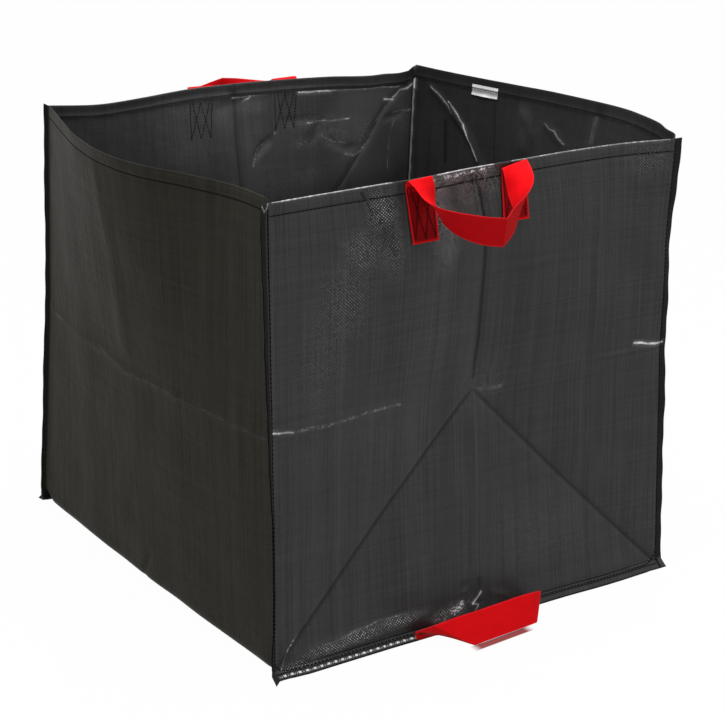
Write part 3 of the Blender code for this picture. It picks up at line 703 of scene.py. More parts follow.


# Painted light and shade on the cloth. Painted glints along creases: width, strength, share broken up, places.
# Painted sparkle and painted lighter areas: across, up, reach across, reach up, strength. Painted shadows: width,
# strength, places.
front_painted_glints = lines(1, 2,
    (-1.1, 0.52, 0.55, -302, 605.5, -130, 605.5), (-1.3, 0.65, 0.5, -60, 605.5, 30, 605.5),
    (-1.1, 0.36, 0.6, 60, 605.5, 300, 605.5), (1.8, 0.95, 0.7, -306, 326.5, -286, 323, -278, 321),
    (3.4, 0.12, 0.98, -278, 321, -225, 319.3, -180, 322.9, -118, 322.9),
    (1.8, 0.95, 0.5, 263.2, 338.5, 281.5, 336.1, 299.9, 332.5, 312, 331.5),
    (3, 0.75, 0.95, -88, 600, -30, 600, 24, 600),
    (-1.2, 0.45, 0.7, -318.5, 603, -315, 596.5, -310.5, 599, -308.5, 604.5), (1.4, 1, 0.6, 11.5, 38, -2, 25),
    (1.3, 0.8, 0.6, -2, 25, 6, 21.5, 4, 14), (7.5, 0.75, 0.97, -48, 10, -36, 18, -20, 28),
    (1.4, 0.16, 0.8, -230, 27, -190, 33, -150, 38, -110, 38),
    (1.5, 0.5, 0.9, -298, 10, -289.2, 27.6, -275.4, 46.8, -272.3, 50.4),
    (4, 0.07, 0.7, 12, 317, 30, 315.7, 48, 317),
)
front_painted_sparkle = areas(
    (-150, 572, 36, 40, 0.55), (-182, 528, 40, 42, 0.34), (-140, 525, 30, 60, 0.26), (-205, 470, 55, 90, 0.2),
    (-235, 400, 60, 120, 0.1), (-72, 578, 42, 45, 1), (-60, 535, 32, 70, 0.75), (-20, 580, 45, 50, 0.45),
    (15, 590, 30, 35, 0.7), (-270, 11.5, 50, 9, 0.5), (-225, 20.5, 55, 11, 0.7), (-180, 25.5, 50, 12, 0.85),
    (-120, 30, 50, 12, 0.6), (-50, 18, 30, 15, 1), (-30, 21, 25, 12, 0.9), (-150, 290, 130, 80, 0.08),
    (100, 100, 160, 80, 0.07), (20, 330, 60, 60, 0.12), (275, 580, 50, 40, 0.16), (-50, 597, 55, 14, 1),
)
front_shadows = lines(1, 1,
    (2.4, 0.68, 1.5, 335, 1.5, 604), (2, 0.9, 1.5, 520, 0, 604), (1.4, 0.85, -9, 550, -7, 604),
    (2.4, 0.66, 0, 318, -304, 12), (2.4, 0.6, 4, 318, 304, 12), (1.4, 0.85, -306, 589, 306, 589),
    (2.2, 1, -309, 602, -309, 12), (1.6, 1, 309, 602, 309, 12), (1.7, 0.9, -306, 5, 306, 5),
    (1.4, 0.8, -306, 11.5, 306, 11.5), (3, 0.9, -320, -3.8, 320, -3.8),
    (3.6, 0.75, -176, 598, -168, 582, -160, 568), (11, 0.6, -163, 570, -150, 545, -140, 522),
    (2.4, 0.9, 312.5, 600, 312.5, 20), (1.2, 0.25, -306, 320.5, 0, 320.5),
)
back_painted_glints = lines(1, 2,
    (1.7, 0.6, 0.85, -2, 583.4, 18, 584.6, 66, 587), (1.7, 0.5, 0.8, 14, 577.4, 31, 585.8, 64, 587),
    (2.2, 1, 0.6, 105, 584.6, 133, 583.4, 156, 582.2), (1.5, 0.5, 0.8, 156, 582.2, 205, 584.6, 280, 582.2),
    (1.4, 0.22, 0.9, -270, 585.5, -100, 586.5), (2.2, 0.7, 0.4, 318, 579, 297, 577.4, 280, 576.2, 267, 566),
    (1.8, 0.85, 0.4, 249, 564.5, 267, 562.5), (2.4, 0.14, 0.8, 267, 564, 251, 549, 237, 532),
    (1.7, 0.3, 0.7, 303, 537.8, 285, 543.8, 268, 542), (1.8, 0.16, 0.9, 271, 532, 262, 497, 263, 450),
    (3, 0.12, 0.95, 22, 480, 32, 503, 50.5, 517.4, 63, 524.6),
    (1.2, 0.5, 0.85, 118, 535, 136, 536.6, 170, 536.6, 190, 537.8),
    (2.2, 0.16, 0.8, 142, 515, 161, 502, 182, 499.4),
    (3, 0.22, 0.9, 182, 483.8, 196, 479, 213, 486.2, 219, 495.8),
)
back_painted_sparkle = areas(
    (30, 570, 50, 20, 0.3), (-20, 555, 40, 30, 0.14), (-60, 570, 80, 20, 0.12), (130, 535, 60, 20, 0.22),
    (110, 505, 30, 14, 0.42), (165, 510, 50, 30, 0.22), (215, 510, 30, 40, 0.3), (285, 530, 30, 50, 0.22),
    (-80, 520, 60, 50, 0.08), (40, 450, 90, 50, 0.08), (120, 460, 90, 40, 0.1),
)
back_shadows = lines(1, 1,
    (4, 0.65, 0, 335, -2, 520, 1.5, 604),
    (1.7, 0.75, 318, 576.5, 297, 575, 280, 573.8, 265.5, 564, 251, 549, 239, 533.5, 210, 484.5, 178, 439, 140,
     390), (1.8, 0.5, 0, 318, -304, 12), (1.8, 0.5, 0, 318, 304, 12), (1.5, 0.85, -306, 589, 306, 589),
    (1.2, 0.85, -309, 600, -309, 7, 309, 7, 309, 600), (3.5, 0.75, 306.5, 560, 306.5, 350),
)
# Painted light, where the inside of the back lies in shade.
back_painted_light = areas(
    (235, 520, 100, 120, 0.34), (130, 470, 120, 100, 0.12),
)


def on_wall(side, found):
    """Lines given at heights of one wall, placed along the whole strip."""
    return [([(y, side * (strip_foot + z)) for y, z in places], *rest) for places, *rest in found]


# Painted glints and painted shadows on the walls.
strip_painted_glints = on_wall(RIGHT, lines(1, 2,
    (1.4, 0.3, 0.6, 276.2, 577.4, 260.3, 570.2, 239, 558.2, 223.1, 543.8),
    (1.3, 0.5, 0.5, 233.7, 560.6, 223.1, 554.6, 196.5, 530.6),
    (1.5, 0.75, 0.3, 196.5, 530.6, 180.6, 509, 159.4, 483.8),
    (1.4, 0.16, 0.6, 26.6, 559.4, 15.9, 552.2, 5.3, 551), (1.4, 0.24, 0.6, 5.3, 551, -5.3, 542.6, -15.9, 536.6),
    (1.8, 0.12, 0.6, -69.1, 601.4, -69.1, 583.4), (6, 0.05, 0.6, -69.1, 583.4, -69.1, 549.8),
    (1.2, 0.1, 0.8, -138.1, 584.6, -175.3, 584.6), (3, 0.9, 0.3, 316, 604, 316, 570),
    (2.4, 0.34, 0.5, 317, 575, 317, 420),
)) + on_wall(LEFT, lines(1, 2,
    (3, 0.025, 0.7, -316, 318, -200, 317, -72, 315), (3, 0.035, 0.7, -72, 315, 0, 309, 22, 306, 110, 317),
    (2, 0.06, 0.6, 260, 311, 290, 311),
))
strip_shadows = on_wall(RIGHT, lines(1, 1,
    (1.3, 0.75, -318, 589, 318, 589), (4, 0.3, 135, 600, 125, 500, 110, 400),
    (2, 0.5, 229, 557, 219, 551, 192, 527, 176, 506), (5.5, 0.45, 239, 530, 234, 470),
)) + on_wall(LEFT, lines(1, 1,
    (1.3, 0.8, -318, 589, 318, 589), (1.2, 0.45, -318, 320, -100, 315.5, 20, 306.5, 100, 314.5, 318, 309.5),
))
# Painted light and painted sparkle on the inside of the right wall.
strip_painted_light = [
    (0.0, strip_foot + 0.40, 0.50, 0.45, 0.11),
    (0.070, strip_foot + 0.55, 0.024, 0.050, 0.10),
]
strip_painted_sparkle = [(0.05, strip_foot + 0.55, 0.16, 0.05, 0.03)]


def within(items, low, high):
    """Those painted glints, painted sparkle and painted shadows that reach between two heights."""
    found = []
    for item in items:
        if isinstance(item[0], list):
            ups = [up for _, up in item[0]]
        else:
            ups = [item[1] - item[3], item[1] + item[3]]
        if min(ups) < high and max(ups) > low:
            found.append(item)
    return found


split_height = 0.22       # the front cloth is two materials, one above the other
# Painted glints in rows along the front's foot allowance.
beads = [(-0.303, -0.098, 0.0013, 0.0019, 0.0106, 0.95), (-0.303, -0.098, 0.0008, 0.0014, 0.0031, 0.6)]
cloth_front, cloth_front_low = (
    woven_cloth(name, (0.014, 0.014, 0.0141), (0.041, 0.0408, 0.0408), 0.36, 0.18,
                *(within(items, low, high) for items in (front_painted_glints, front_painted_sparkle, front_shadows)), beads=rows)
    for name, low, high, rows in (("cloth_front", split_height, 1.0, ()),
                                  ("cloth_front_low", -1.0, split_height, beads)))
# The back's tones are a little lighter and bluer than the front's: painted light for the inside of the bag.
cloth_back = woven_cloth("cloth_back", (0.018, 0.018, 0.0187), (0.042, 0.042, 0.0435), 0.33, 0.30,
                         back_painted_glints, back_painted_sparkle, back_shadows, painted_light=back_painted_light)
cloth_strip = woven_cloth("cloth_strip", (0.0150, 0.0140, 0.0108), (0.0310, 0.0290, 0.0222), 0.46, 0.03,
                          strip_painted_glints, strip_painted_sparkle, strip_shadows, painted_light=strip_painted_light,
                          right=((0.0132, 0.0132, 0.0132), (0.0275, 0.0275, 0.0275)))
red = webbing("red_webbing")
black = thread_material("black_thread")
silver = ribbon("label_ribbon")


def finish_piece(item, nodes, body):
    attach(item, body)
    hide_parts(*nodes)


# The front and back panels

half_rows = {FRONT: 78, BACK: 62}


def hem_rows(turn):
    """Heights and depths of the hem's rows, up its outside, over the rim's fold and down its inside."""
    found = [(np.minimum(h, rim_height - turn), 0 * turn)
             for h in np.linspace(rim_height - hem_depth, rim_height, 9)[:-1]]
    for angle in np.linspace(0, math.pi, fold_rows):
        found.append((rim_height - turn + turn * math.sin(angle), turn * (1 - math.cos(angle))))
    for h in np.linspace(rim_height - inside_start, rim_height - hem_depth, inside_rows):
        closing = step(rim_height - hem_stitch, rim_height - inside_start / 2, h)
        found.append((h + 0 * turn, lerp(2 * hem_flat, 2 * turn, closing)))
    return found


def make_panel(name, face):
    count = half_rows[face]
    edge = np.linspace(seam_allowance, 0, 6)[:-1] / half_width
    u = np.concatenate([-1 - edge, np.linspace(-1, 1, 2 * count + 1), 1 + edge[::-1]])
    hem_foot = rim_height - hem_depth
    rises = ((seam_lift - seam_allowance, seam_lift, 7), (seam_lift, crease_height, count + 1),
             (crease_height, hem_foot, int(count * 0.83)), (hem_foot, rim_height, 9))
    rises = [np.linspace(*rise)[:-1] for rise in rises]
    turn = lerp(hem_turn, hem_flat, step(0.94, 1.0, abs(u)))
    rows = [(h + 0 * turn, 0 * turn) for h in np.concatenate(rises[:3])] + hem_rows(turn)
    grid_h, grid_d = (np.array(part) for part in zip(*rows))
    grid_u = np.broadcast_to(u, grid_h.shape)
    points = panel(face, grid_u, grid_h, grid_d)
    inside = np.linspace(inside_start, hem_depth, inside_rows)
    along = np.concatenate([*rises, np.full(fold_rows, rim_height), rim_height + inside])
    uv = grid_uv(u * half_width, along)
    beyond = np.maximum(0, abs(grid_u) - 1) * half_width
    left, right = grid_u < 0, grid_u > 0
    # Painted shade on the seam allowances: their outer edges, all of the back's left one, half of the front's left
    # one and a line along the front's right one.
    shades = [step(0.0045, 0.0085, beyond) * (grid_h > seam_lift)]
    if face == BACK:
        shades += [(beyond > 0) * left]
    else:
        shades += [0.55 * (beyond > 0) * left, step(0.0, 0.002, beyond) * (beyond < 0.007) * right]
    fold = np.max([darkness(face_words[face], grid_u * half_width, grid_h) * (grid_d < 1e-6), *shades], axis=0)
    slant = np.broadcast_to(u[:-1] >= 0, (len(grid_h) - 1, len(u) - 1))
    if face == BACK:
        points, uv, fold = points[:, ::-1], uv[:, ::-1], fold[:, ::-1]
        slant = np.broadcast_to(u[:-1] < 0, slant.shape)
    return thick(name, points, cloth, uv, fold, cloth_front if face == FRONT else cloth_back, slant)


for face, word in face_words.items():
    item = make_panel(f"{word}_cloth", face)
    finish_piece(item, [f"{word}_panel"], "bag")
    if face == FRONT:
        item.data.materials.append(cloth_front_low)
        for polygon in item.data.polygons:
            polygon.material_index = int(polygon.center.z < split_height)


# The left wall, the base and the right wall, in one strip

def make_strip(name):
    n, count = flange_rows, strip_count
    spread = np.concatenate([np.full(n, 1.1), abs(strip_s), np.full(n, 1.1)])
    turn = lerp(hem_turn, hem_flat, step(0.95, 1.0, spread))
    corner_h = seam_lift + base_radius

    def half(side):
        found = [(0.0, h, 0.0, depth) for h, depth in hem_rows(turn)[::-1]]
        for h in np.linspace(rim_height - hem_depth, corner_h, 112)[1:-1]:
            found.append((0.0, h, 0.0, 0.0))
        for angle in np.linspace(0, math.pi / 2, 9):
            height = corner_h - base_radius * math.sin(angle)
            found.append((base_radius * (1 - math.cos(angle)), height, angle, 0.0))
        for k in range(1, 12):
            found.append((lerp(base_radius, half_width, k / 12), seam_lift, math.pi / 2, 0.0))
        return [(side, *place) for place in found]

    rows, along, folds = [], [], []
    for side, inset, h, angle, depth in half(LEFT) + [(RIGHT, half_width, seam_lift, math.pi / 2, 0.0)] \
            + half(RIGHT)[::-1]:
        rows.append(strip(side, inset, h, angle, depth))
        level = np.max(h)
        if inset == 0.0 and angle == 0:
            turned_in = np.max(depth) > 0 and level < rim_height - hem_turn
            along.append(side * (strip_foot + (2 * rim_height - level if turned_in else level)))
        elif inset < base_radius or angle < math.pi / 2:
            along.append(side * (strip_foot + corner_h - base_radius * angle))
        else:
            along.append(side * (half_width - inset))
        # Painted shade: the allowances fully dark, and along the wall's creases.
        line = np.ones(count)
        heights = np.broadcast_to(h, count)[n:-n]
        line[n:-n] = darkness(side_words[side], strip_s * half_depth, heights) if angle == 0 else 0
        folds.append(line)
    across = np.concatenate([-half_depth - flange_out, strip_s * half_depth, half_depth + flange_out[::-1]])
    return thick(name, np.array(rows), cloth, grid_uv(across, along), np.array(folds), cloth_strip)


finish_piece(make_strip("side_cloth"), ["side_base_strip"], "bag")


# Stitches

def arc(p):
    """The length along a line at each of its points."""
    return np.concatenate([[0], np.cumsum(np.linalg.norm(np.diff(p, axis=0), axis=1))])


def read(at, p, place):
    """Values along a line, read at one length."""
    return np.array([np.interp(place, at, p[:, k]) for k in range(3)])


def make_stitches(name, node, runs, pitch=stitch_pitch, share=0.78, radius=thread_radius):
    """Short threads along each run of (points, outward normals)."""
    sides, profile = 6, ((0.0, 0.35, -0.5), (0.14, 0.9, 0.3), (0.5, 1.0, 0.62), (0.86, 0.9, 0.3), (1.0, 0.35, -0.5))
    points, faces, uv = [], [], []
    for line, normals in runs:
        at = arc(line)
        for start in np.arange(0, at[-1], pitch):
            end = min(start + pitch * share, at[-1])
            if end - start < pitch * share * 0.5:
                continue
            base = len(points)
            for t, size, lift in profile:
                place = lerp(start, end, t)
                here, n = read(at, line, place), unit(read(at, normals, place))
                ahead = read(at, line, min(place + 1e-4, at[-1])) - read(at, line, max(place - 1e-4, 0))
                side = unit(np.cross(unit(ahead), n))
                for k in range(sides):
                    turn = 2 * math.pi * k / sides
                    offset = side * math.cos(turn) + n * math.sin(turn)
                    points.append(here + n * lift * radius + offset * radius * size)
                    uv.append((radius * turn, place))
            for ring in range(len(profile) - 1):
                for k in range(sides):
                    a, b = base + ring * sides + k, base + ring * sides + (k + 1) % sides
                    faces.append([a, b, b + sides, a + sides])
            faces.append([base + k for k in range(sides)][::-1])
            last = base + (len(profile) - 1) * sides
            faces.append([last + k for k in range(sides)])
    item = make_mesh(name, np.array(points), faces, np.array(uv), np.zeros(len(points)), black)
    finish_piece(item, [node], "bag")


def panel_run(face, us, hs, depth, inside):
    """A line on a panel, with its outward normals."""
    us, hs = arrays(us, hs)
    up = panel(face, us, hs + probe, depth) - panel(face, us, hs - probe, depth)
    right = panel(face, us + 0.005, hs, depth) - panel(face, us - 0.005, hs, depth)
    n = unit(np.cross(right, up)) * (1 if face == FRONT else -1)
    return panel(face, us, hs, depth), -n if inside else n


def seam_route():
    """u and h along the seam's stitches: down the left side, along the foot and up the right."""
    out = seam_stitch
    corner_h = seam_lift + base_radius
    places = [(-1 - out / half_width, h) for h in np.linspace(rim_height - 0.006, corner_h, 160)]
    for angle in np.linspace(0, math.pi / 2, 12)[1:]:
        inset = base_radius - (base_radius + out) * math.cos(angle)
        places.append((-1 + inset / half_width, corner_h - (base_radius + out) * math.sin(angle)))
    for inset in np.linspace(base_radius, body_width - base_radius, 150)[1:-1]:
        places.append((-1 + inset / half_width, seam_lift - out))
    left = [p for p in places if p[0] < 0 and p[1] > seam_lift - out + 1e-6]
    return np.array(places + [(-u, h) for u, h in left[::-1]])


route = seam_route()
for face, word in face_words.items():
    for where, depth in (("outer", 0.0), ("inner", layers)):
        run = panel_run(face, route[:, 0], route[:, 1], depth, where == "inner")
        make_stitches(f"{word}_seam_stitches_{where}", f"{word}_seam_thread_{where}", [run],
                      radius=seam_thread_radius)
    for where, depth in (("outer", 0.0), ("inner", 2 * hem_flat)):
        run = panel_run(face, np.linspace(-0.985, 0.985, 240), rim_height - hem_stitch, depth, where == "inner")
        make_stitches(f"{word}_hem_stitches_{where}", f"{word}_hem_thread_{where}", [run])


def wall_run(side, h, depth, inside):
    n = flange_rows
    depth = np.concatenate([np.zeros(n), np.broadcast_to(depth, len(strip_s)), np.zeros(n)])
    rows = [strip(side, 0.0, h + d, 0.0, depth)[n + 1:-n - 1] for d in (-probe, 0.0, probe)]
    normal = unit(np.cross(np.gradient(rows[1], axis=0), rows[2] - rows[0])) * (1 if side == RIGHT else -1)
    return rows[1], -normal if inside else normal


for side, hand in side_words.items():
    for where, depth in (("outer", 0.0), ("inner", 2 * hem_flat)):
        over_label = abs(strip_s * half_depth - label_middle) < label_width / 2 + 0.002
        extra = 0.0007 * over_label * (where == "inner" and side == RIGHT)
        run = wall_run(side, rim_height - hem_stitch, depth + extra, where == "inner")
        make_stitches(f"{hand}_hem_stitches_{where}", f"{hand}_hem_thread_{where}", [run])


# The straps

def place_on(face, x, h, depth):
    """A point of a panel at this x, found by moving along the cloth."""
    x, h, depth = arrays(x, h, depth)
    u = x / half_width
    for _ in range(8):
        u = u + (x - panel(face, u, h, depth)[..., 0]) / half_width
    return panel(face, u, h, depth)


def sewn(face, side, across, down, depth=webbing_low + webbing_depth / 2):
    """A point over a handle's sewn end, off the panel by depth."""
    top, bottom, length = sewn_at[side, face]
    x = lerp(top, bottom, np.asarray(down) / length) + np.asarray(across) * webbing_width / 2
    return place_on(face, x, rim_height - np.asarray(down, float), -depth)


def rows_between(first, second, gap=0.0016):
    """Both edges of a strap at equal steps, along smooth curves through their points."""
    runs = np.linalg.norm(np.diff((first + second) / 2, axis=0), axis=1)
    at = np.concatenate([[0], np.cumsum(np.maximum(runs, 1e-5))])
    t = np.linspace(0, at[-1], int(at[-1] / gap) + 2)
    return smooth(at, first, t), smooth(at, second, t)


def make_strap(name, parts, shade):
    """One length of webbing along parts that meet at sharp folds, each (one edge, other edge) in pieces."""
    rows = [rows_between(*(np.concatenate(edge) for edge in part)) for part in parts]
    first, second = (np.concatenate([rows[0][k]] + [r[k][1:] for r in rows[1:]]) for k in (0, 1))
    c = np.linspace(-1, 1, 15)
    middle = lerp(first[:, None], second[:, None], (c[:, None] + 1) / 2)
    along = arc(middle[:, 7])
    normals = grid_normals(middle)
    t = np.broadcast_to(webbing_depth * (1 - 0.5 * abs(c) ** 8), middle.shape[:2])
    uv = grid_uv(c * webbing_width / 2, along)
    return thick(name, middle + normals * t[..., None] / 2, t, uv, shade(along, c), red, normals=normals)


# A hanging loop: its two edges from the left end to the fold, and from the right end to the fold
loop_edges = {
    FRONT: (
        mm((-125.8, -318.6, 603.5), (-125.2, -322.4, 606.8), (-122.8, -328.2, 603.2), (-115.7, -346.2, 587.4),
           (-103.8, -360.4, 580.0), (-87.6, -371.8, 575.5), (-69.6, -380.5, 571.8), (-50.9, -387.7, 568.4),
           (-31.8, -394.4, 566.6)),
        mm((-87.0, -314.6, 604.6), (-88.2, -318.4, 608.2), (-87.5, -321.4, 600.5), (-86.6, -325.0, 573.5),
           (-84.5, -334.2, 556.8), (-77.3, -348.8, 544.5), (-64.8, -363.0, 536.1), (-48.2, -374.8, 530.7),
           (-28.9, -383.9, 528.1)),
        mm((64.0, -302.8, 605.0), (60.2, -307.4, 609.0), (57.6, -317.0, 605.2), (46.8, -340.5, 595.2),
           (30.0, -357.9, 587.3), (9.7, -370.4, 580.9), (-11.8, -381.3, 574.2), (-31.8, -394.4, 566.6)),
        mm((24.0, -306.2, 599.5), (20.4, -311.4, 603.0), (20.6, -315.2, 596.0), (22.8, -322.6, 571.5),
           (21.3, -337.9, 553.9), (10.3, -356.6, 543.3), (-7.6, -372.0, 535.4), (-28.9, -383.9, 528.1)),
    ),
    BACK: (
        mm((-81.9, 316.6, 605.0), (-77.7, 329.3, 603.3), (-71.2, 341.0, 599.6), (-63.6, 352.6, 595.9),
           (-45.7, 374.9, 590.8), (-23.1, 393.3, 590.0), (2.9, 407.7, 591.5), (29.8, 420.9, 593.2)),
        mm((-42.0, 314.7, 605.8), (-38.7, 322.6, 598.7), (-35.4, 328.3, 587.8), (-33.2, 335.6, 576.3),
           (-26.9, 357.6, 560.0), (-12.8, 381.7, 553.1), (7.1, 403.6, 552.0), (28.9, 424.0, 553.3)),
        mm((98.6, 314.5, 605.4), (97.7, 324.8, 604.4), (94.1, 344.9, 598.2), (88.5, 364.6, 592.5),
           (79.3, 383.2, 590.6), (65.7, 399.1, 591.1), (48.6, 411.4, 592.5), (29.8, 420.9, 593.2)),
        mm((58.6, 314.3, 605.6), (57.8, 323.0, 602.4), (56.4, 336.8, 588.5), (56.5, 350.9, 572.8),
           (55.6, 368.5, 562.0), (50.4, 387.8, 556.0), (40.8, 406.4, 553.6), (28.9, 424.0, 553.3)),
    ),
}
leaves = {FRONT: 0.0085, BACK: 0.0035}      # below the rim, where a handle leaves its panel
hinge = {FRONT: (-0.02957994, -0.30779247, 0.61044928), BACK: (0.00817722, 0.31518513, 0.60858396)}
outward = {FRONT: (0.08968, -0.99597, 0.0), BACK: (0.01082, 0.99994, 0.0)}


def make_handle(name, face):
    left_a, left_b, right_a, right_b = loop_edges[face]
    left = np.linspace(sewn_at[LEFT, face][2], leaves[face], 22)
    right = np.linspace(leaves[face], sewn_at[RIGHT, face][2], 22)
    parts = [
        ([sewn(face, LEFT, -1, left), left_a], [sewn(face, LEFT, 1, left), left_b]),
        ([right_a[::-1], sewn(face, RIGHT, 1, right)], [right_b[::-1], sewn(face, RIGHT, -1, right)]),
    ]

    def shade(along, c):
        tip = np.minimum(along, along[-1] - along)
        # Painted shade: the sewn ends darker except at their edges, and the loop half dark away from the ends.
        patch = step(0.001, 0.004, tip) * (1 - step(0.065, 0.075, tip))
        loop = 0.50 * step(0.120, 0.150, tip)
        return np.maximum(patch[:, None] * (1 - step(0.80, 0.95, abs(c)))[None, :], loop[:, None])

    return make_strap(name, parts, shade)


def finish_bent(item, nodes):
    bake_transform(item)
    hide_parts(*nodes)


for face, word in face_words.items():
    start, out = np.array(hinge[face]), np.array(outward[face])
    nodes = [f"{word}_handle_left_end", f"{word}_handle_right_end", f"{word}_handle_loop"]
    finish_bent(make_handle(f"{word}_handle", face), nodes)


def foot(x, out, depth=foot_gap + webbing_depth / 2):
    """A point over the front foot's allowance, out from the seam line."""
    return place_on(FRONT, x, seam_lift - np.asarray(out, float), -depth)


def make_tipping_handle():
    """Sewn on at two places, with a turned corner at each end of the standing band."""
    outs = np.linspace(seam_allowance - tipping_sewn, seam_allowance - 0.0006, 5)
    wide_left = mm((-105.1, -331.6, 6.0), (-109.1, -334.4, 12.2), (-111.4, -338.5, 19.8), (-107.9, -345.0, 24.8),
                   (-103.6, -352.0, 29.8), (-98.0, -358.7, 34.7))
    near_left = mm((-59.8, -333.0, 2.4), (-59.0, -337.0, 2.2), (-57.5, -344.0, 1.9), (-55.0, -355.0, 1.6),
                   (-51.0, -366.4, 1.2), (-45.4, -378.0, 0.9))
    upper = mm((-98.0, -358.7, 34.7), (-62.4, -356.3, 35.7), (-26.6, -354.6, 35.7), (9.2, -352.3, 35.9),
               (44.9, -349.5, 35.8), (72.0, -347.8, 34.4), (80.5, -344.6, 32.0), (86.9, -340.0, 28.3))
    lower = mm((-45.4, -378.0, 0.9), (-29.5, -376.0, 0.9), (-10.2, -374.3, 0.9), (10.1, -372.7, 0.9),
               (30.4, -371.0, 0.9), (48.7, -369.3, 0.9), (55.3, -368.5, 0.9), (60.8, -367.8, 0.9))
    wide_right = mm((86.9, -340.0, 28.3), (89.6, -336.6, 17.0), (90.2, -333.6, 7.0))
    near_right = mm((60.8, -367.8, 0.9), (57.0, -350.0, 1.2), (51.0, -335.0, 2.2))
    left, right = tipping_middle - tipping_half, tipping_middle + tipping_half
    half = webbing_width / 2
    parts = [
        ([foot(left - half - 0.10 * outs, outs), wide_left], [foot(left + half, outs), near_left]),
        ([upper], [lower]),
        ([wide_right, foot(right + half, outs[::-1])], [near_right, foot(right - half, outs[::-1])]),
    ]

    def shade(along, c):
        # Painted shade: black in the gap of the curl at the left end, and a little over the whole band.
        middle = -0.75 + 1.3 * (along - 0.020) / 0.032
        stretch = step(0.016, 0.022, along) * (1 - step(0.040, 0.050, along))
        return np.maximum(2.0 * hill(c[None, :] - middle[:, None], 0.16) * stretch[:, None], 0.10)

    return make_strap("tipping_handle", parts, shade)


finish_bent(make_tipping_handle(), ["tipping_handle_left_end", "tipping_handle_right_end", "tipping_handle_loop"])


# The stitches of the handles' ends

def stitched_route(face, side, corners, top, bottom, depth):
    """A zigzag between the top and bottom of a sewn end, through (share across, at the top?) corners."""
    across, down = [], []
    for (a, high_a), (b, high_b) in zip(corners[:-1], corners[1:]):
        t = np.linspace(0, 1, 24)[: None if (b, high_b) == corners[-1] else -1]
        across += list(lerp(a, b, t) * 2)
        down += list(lerp(top if high_a else bottom, top if high_b else bottom, t))
    across, down = np.array(across), np.array(down)
    beside = sewn(face, side, across + 0.1, down, depth) - sewn(face, side, across - 0.1, down, depth)
    above = sewn(face, side, across, down - 0.002, depth) - sewn(face, side, across, down + 0.002, depth)
    normal = unit(np.cross(beside, above)) * (1 if face == FRONT else -1)
    return sewn(face, side, across, down, depth), normal


first_pass = [(-0.46, True), (-0.40, False), (-0.03, True), (0.39, False), (0.45, True)]
second_pass = [(-0.35, True), (0.0, False), (0.35, True)]
bar_across = [(-0.47, True), (0.47, True)]

for face, word in face_words.items():
    for side, hand in side_words.items():
        bottom = sewn_at[side, face][2] - 0.004
        depth = webbing_low + webbing_depth + thread_gap
        runs = [stitched_route(face, side, corners, top, bottom, depth)
                for corners, top in ((first_pass, 0.0105), (second_pass, 0.0105), (bar_across, 0.0095))]
        make_stitches(f"{word}_{hand}_end_stitches", f"{word}_handle_{hand}_thread_outer", runs, **end_stitch)
        runs = []
        for corners in (first_pass, second_pass):
            line, normal = stitched_route(face, side, corners, hem_depth + 0.002, bottom, -cloth - thread_gap)
            runs.append((line, -normal))
        make_stitches(f"{word}_{hand}_end_stitches_inner", f"{word}_handle_{hand}_thread_inner", runs,
                      **end_stitch_inside)

for side, hand in side_words.items():
    middle = tipping_middle + side * tipping_half
    out = np.where(np.arange(17) % 2, 0.0062, 0.0122)
    line = foot(np.linspace(middle - 0.018, middle + 0.018, 17), out, foot_gap + webbing_depth + thread_gap)
    make_stitches(f"tipping_{hand}_end_stitches", f"tipping_handle_{hand}_thread",
                  [(line, np.broadcast_to((0.0, -0.84, 0.54), line.shape))], **tipping_stitch)


# The care label, inside the right wall

def make_label(name):
    n = flange_rows
    y = np.linspace(label_middle - label_width / 2, label_middle + label_width / 2, 25)
    tail = label_top + label_length
    downs = np.concatenate([np.linspace(label_top, label_hinge, 8), np.linspace(label_hinge, tail, 10)[1:]])
    hidden = hem_depth - 0.001
    rows = []
    for down in downs:
        row = strip(RIGHT, 0.0, rim_height - min(down, hidden), 0.0, 2 * hem_flat + label_gap)[n + 1:-n - 1]
        point = np.stack([np.interp(y, row[:, 1], row[:, k]) for k in range(3)], -1)
        free = step(label_hinge, tail + 0.004, down)
        point[:, 0] -= 0.0022 * free * (1 + 0.35 * np.cos((y - label_middle) * 150))
        point[:, 1] = y
        point[:, 2] -= max(0.0, down - hidden)
        rows.append(point)
    grid = np.array(rows)
    normals = np.broadcast_to((-1.0, 0.0, 0.0), grid.shape)
    return thick(name, grid, label_thickness, grid_uv(y - label_middle, downs), 0.0, silver, normals=normals)


finish_bent(make_label("care_label"), ["care_label_edge", "care_label_flap"])


# The camera, where the photograph was taken from

forward = Vector((0.50973, 0.79512, -0.32857)).normalized()
level_right = forward.cross(Vector((0, 0, 1))).normalized()
level_up = level_right.cross(forward)
roll = math.radians(0.62)
camera_right = math.cos(roll) * level_right + math.sin(roll) * level_up
camera_up = -math.sin(roll) * level_right + math.cos(roll) * level_up
camera = add_object("camera", bpy.data.cameras.new("camera"))
camera.data.sensor_width = 36.0
camera.data.lens = 94.19
place = Matrix((camera_right, camera_up, -forward)).transposed().to_4x4()
place.translation = Vector((-1.34175, -2.12380, 1.13760))
camera.matrix_world = place
bpy.context.scene.camera = camera


# The floor, which looks white, with a small mirror at the tipping handle

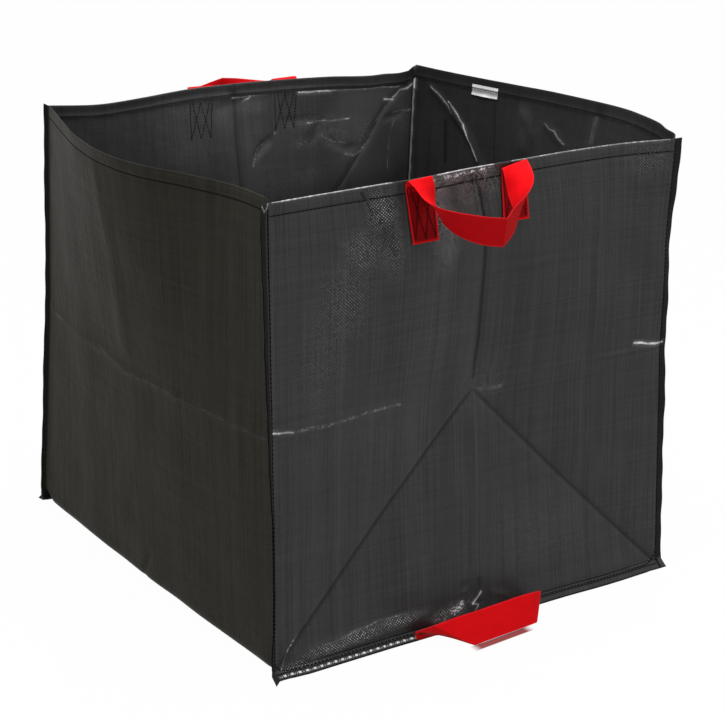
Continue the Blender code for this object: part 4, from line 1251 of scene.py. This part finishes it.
def make_floor():
    mesh = bpy.data.meshes.new("floor")
    mesh.from_pydata([(-6, -6, 0), (6, -6, 0), (6, 6, 0), (-6, 6, 0)], [], [(0, 1, 2, 3)])
    floor = add_object("floor", mesh)
    m = Nodes(bpy.data.materials.new("floor"))
    m.fill(m.surface, {"Base Color": (0.6, 0.6, 0.6, 1.0), "Roughness": 0.12, "Specular IOR Level": 0.5})
    rays = m.add("LightPath").outputs
    seen = m.times(m.most(rays["Is Camera Ray"], rays["Is Glossy Ray"]), 0.98)
    x, y = m.add("SeparateXYZ", {0: m.add("TexCoord").outputs["Object"]}).outputs[:2]
    middle, half, slope = (-0.003, -0.3786), (0.051, 0.0070), -0.09
    ahead = m.math("DIVIDE", m.apart(m.times(x, slope, y), middle[1]), half[1])
    across = m.math("DIVIDE", m.apart(x, middle[0]), half[0])
    near_handle = m.add("MapRange", {"Value": m.most(ahead, across), "From Min": 1.0, "From Max": 0.75,
                                     "To Max": 0.95})
    white = m.add("Emission", {"Strength": 1.0})
    mirror = m.add("BsdfGlossy", {"Roughness": 0.04, "Color": (0.5, 0.5, 0.5, 1.0)})
    pale = m.add("MixShader", {0: near_handle.outputs[0], 1: white.outputs[0], 2: mirror.outputs[0]})
    mixed = m.add("MixShader", {0: seen, 1: m.surface.outputs[0], 2: pale.outputs[0]})
    m.fill(m.tree.nodes["Material Output"], {"Surface": mixed.outputs[0]})
    mesh.materials.append(m.block)


make_floor()


# The light

world = Nodes(bpy.data.worlds.new("studio"))
rays = world.add("LightPath").outputs
seen = world.most(rays["Is Camera Ray"], rays["Is Transmission Ray"], rays["Is Glossy Ray"])
world.fill(world.surface, {"Color": (1.0, 1.0, 1.0, 1.0), "Strength": world.times(seen, 0.66, 0.34)})
bpy.context.scene.world = world.block


def area_light(name, place, target, size, power):
    light = bpy.data.lights.new(name, "AREA")
    light.shape = "RECTANGLE"
    light.size, light.size_y = size
    light.energy = power
    item = add_object(name, light)
    item.location = Vector(place)
    item.rotation_mode = "QUATERNION"
    item.rotation_quaternion = (Vector(target) - Vector(place)).to_track_quat("-Z", "Y")


area_light("overhead", (0.0, -0.2, 2.7), (0.0, 0.0, 0.3), (1.6, 1.2), 86.0)
area_light("right_box", (1.45, -2.25, 1.25), (0.0, 0.0, 0.35), (0.7, 0.5), 14.0)
area_light("left_box", (-2.4, -0.9, 1.2), (0.0, 0.0, 0.3), (0.9, 0.6), 16.0)

bpy.context.scene.view_settings.view_transform = "Standard"
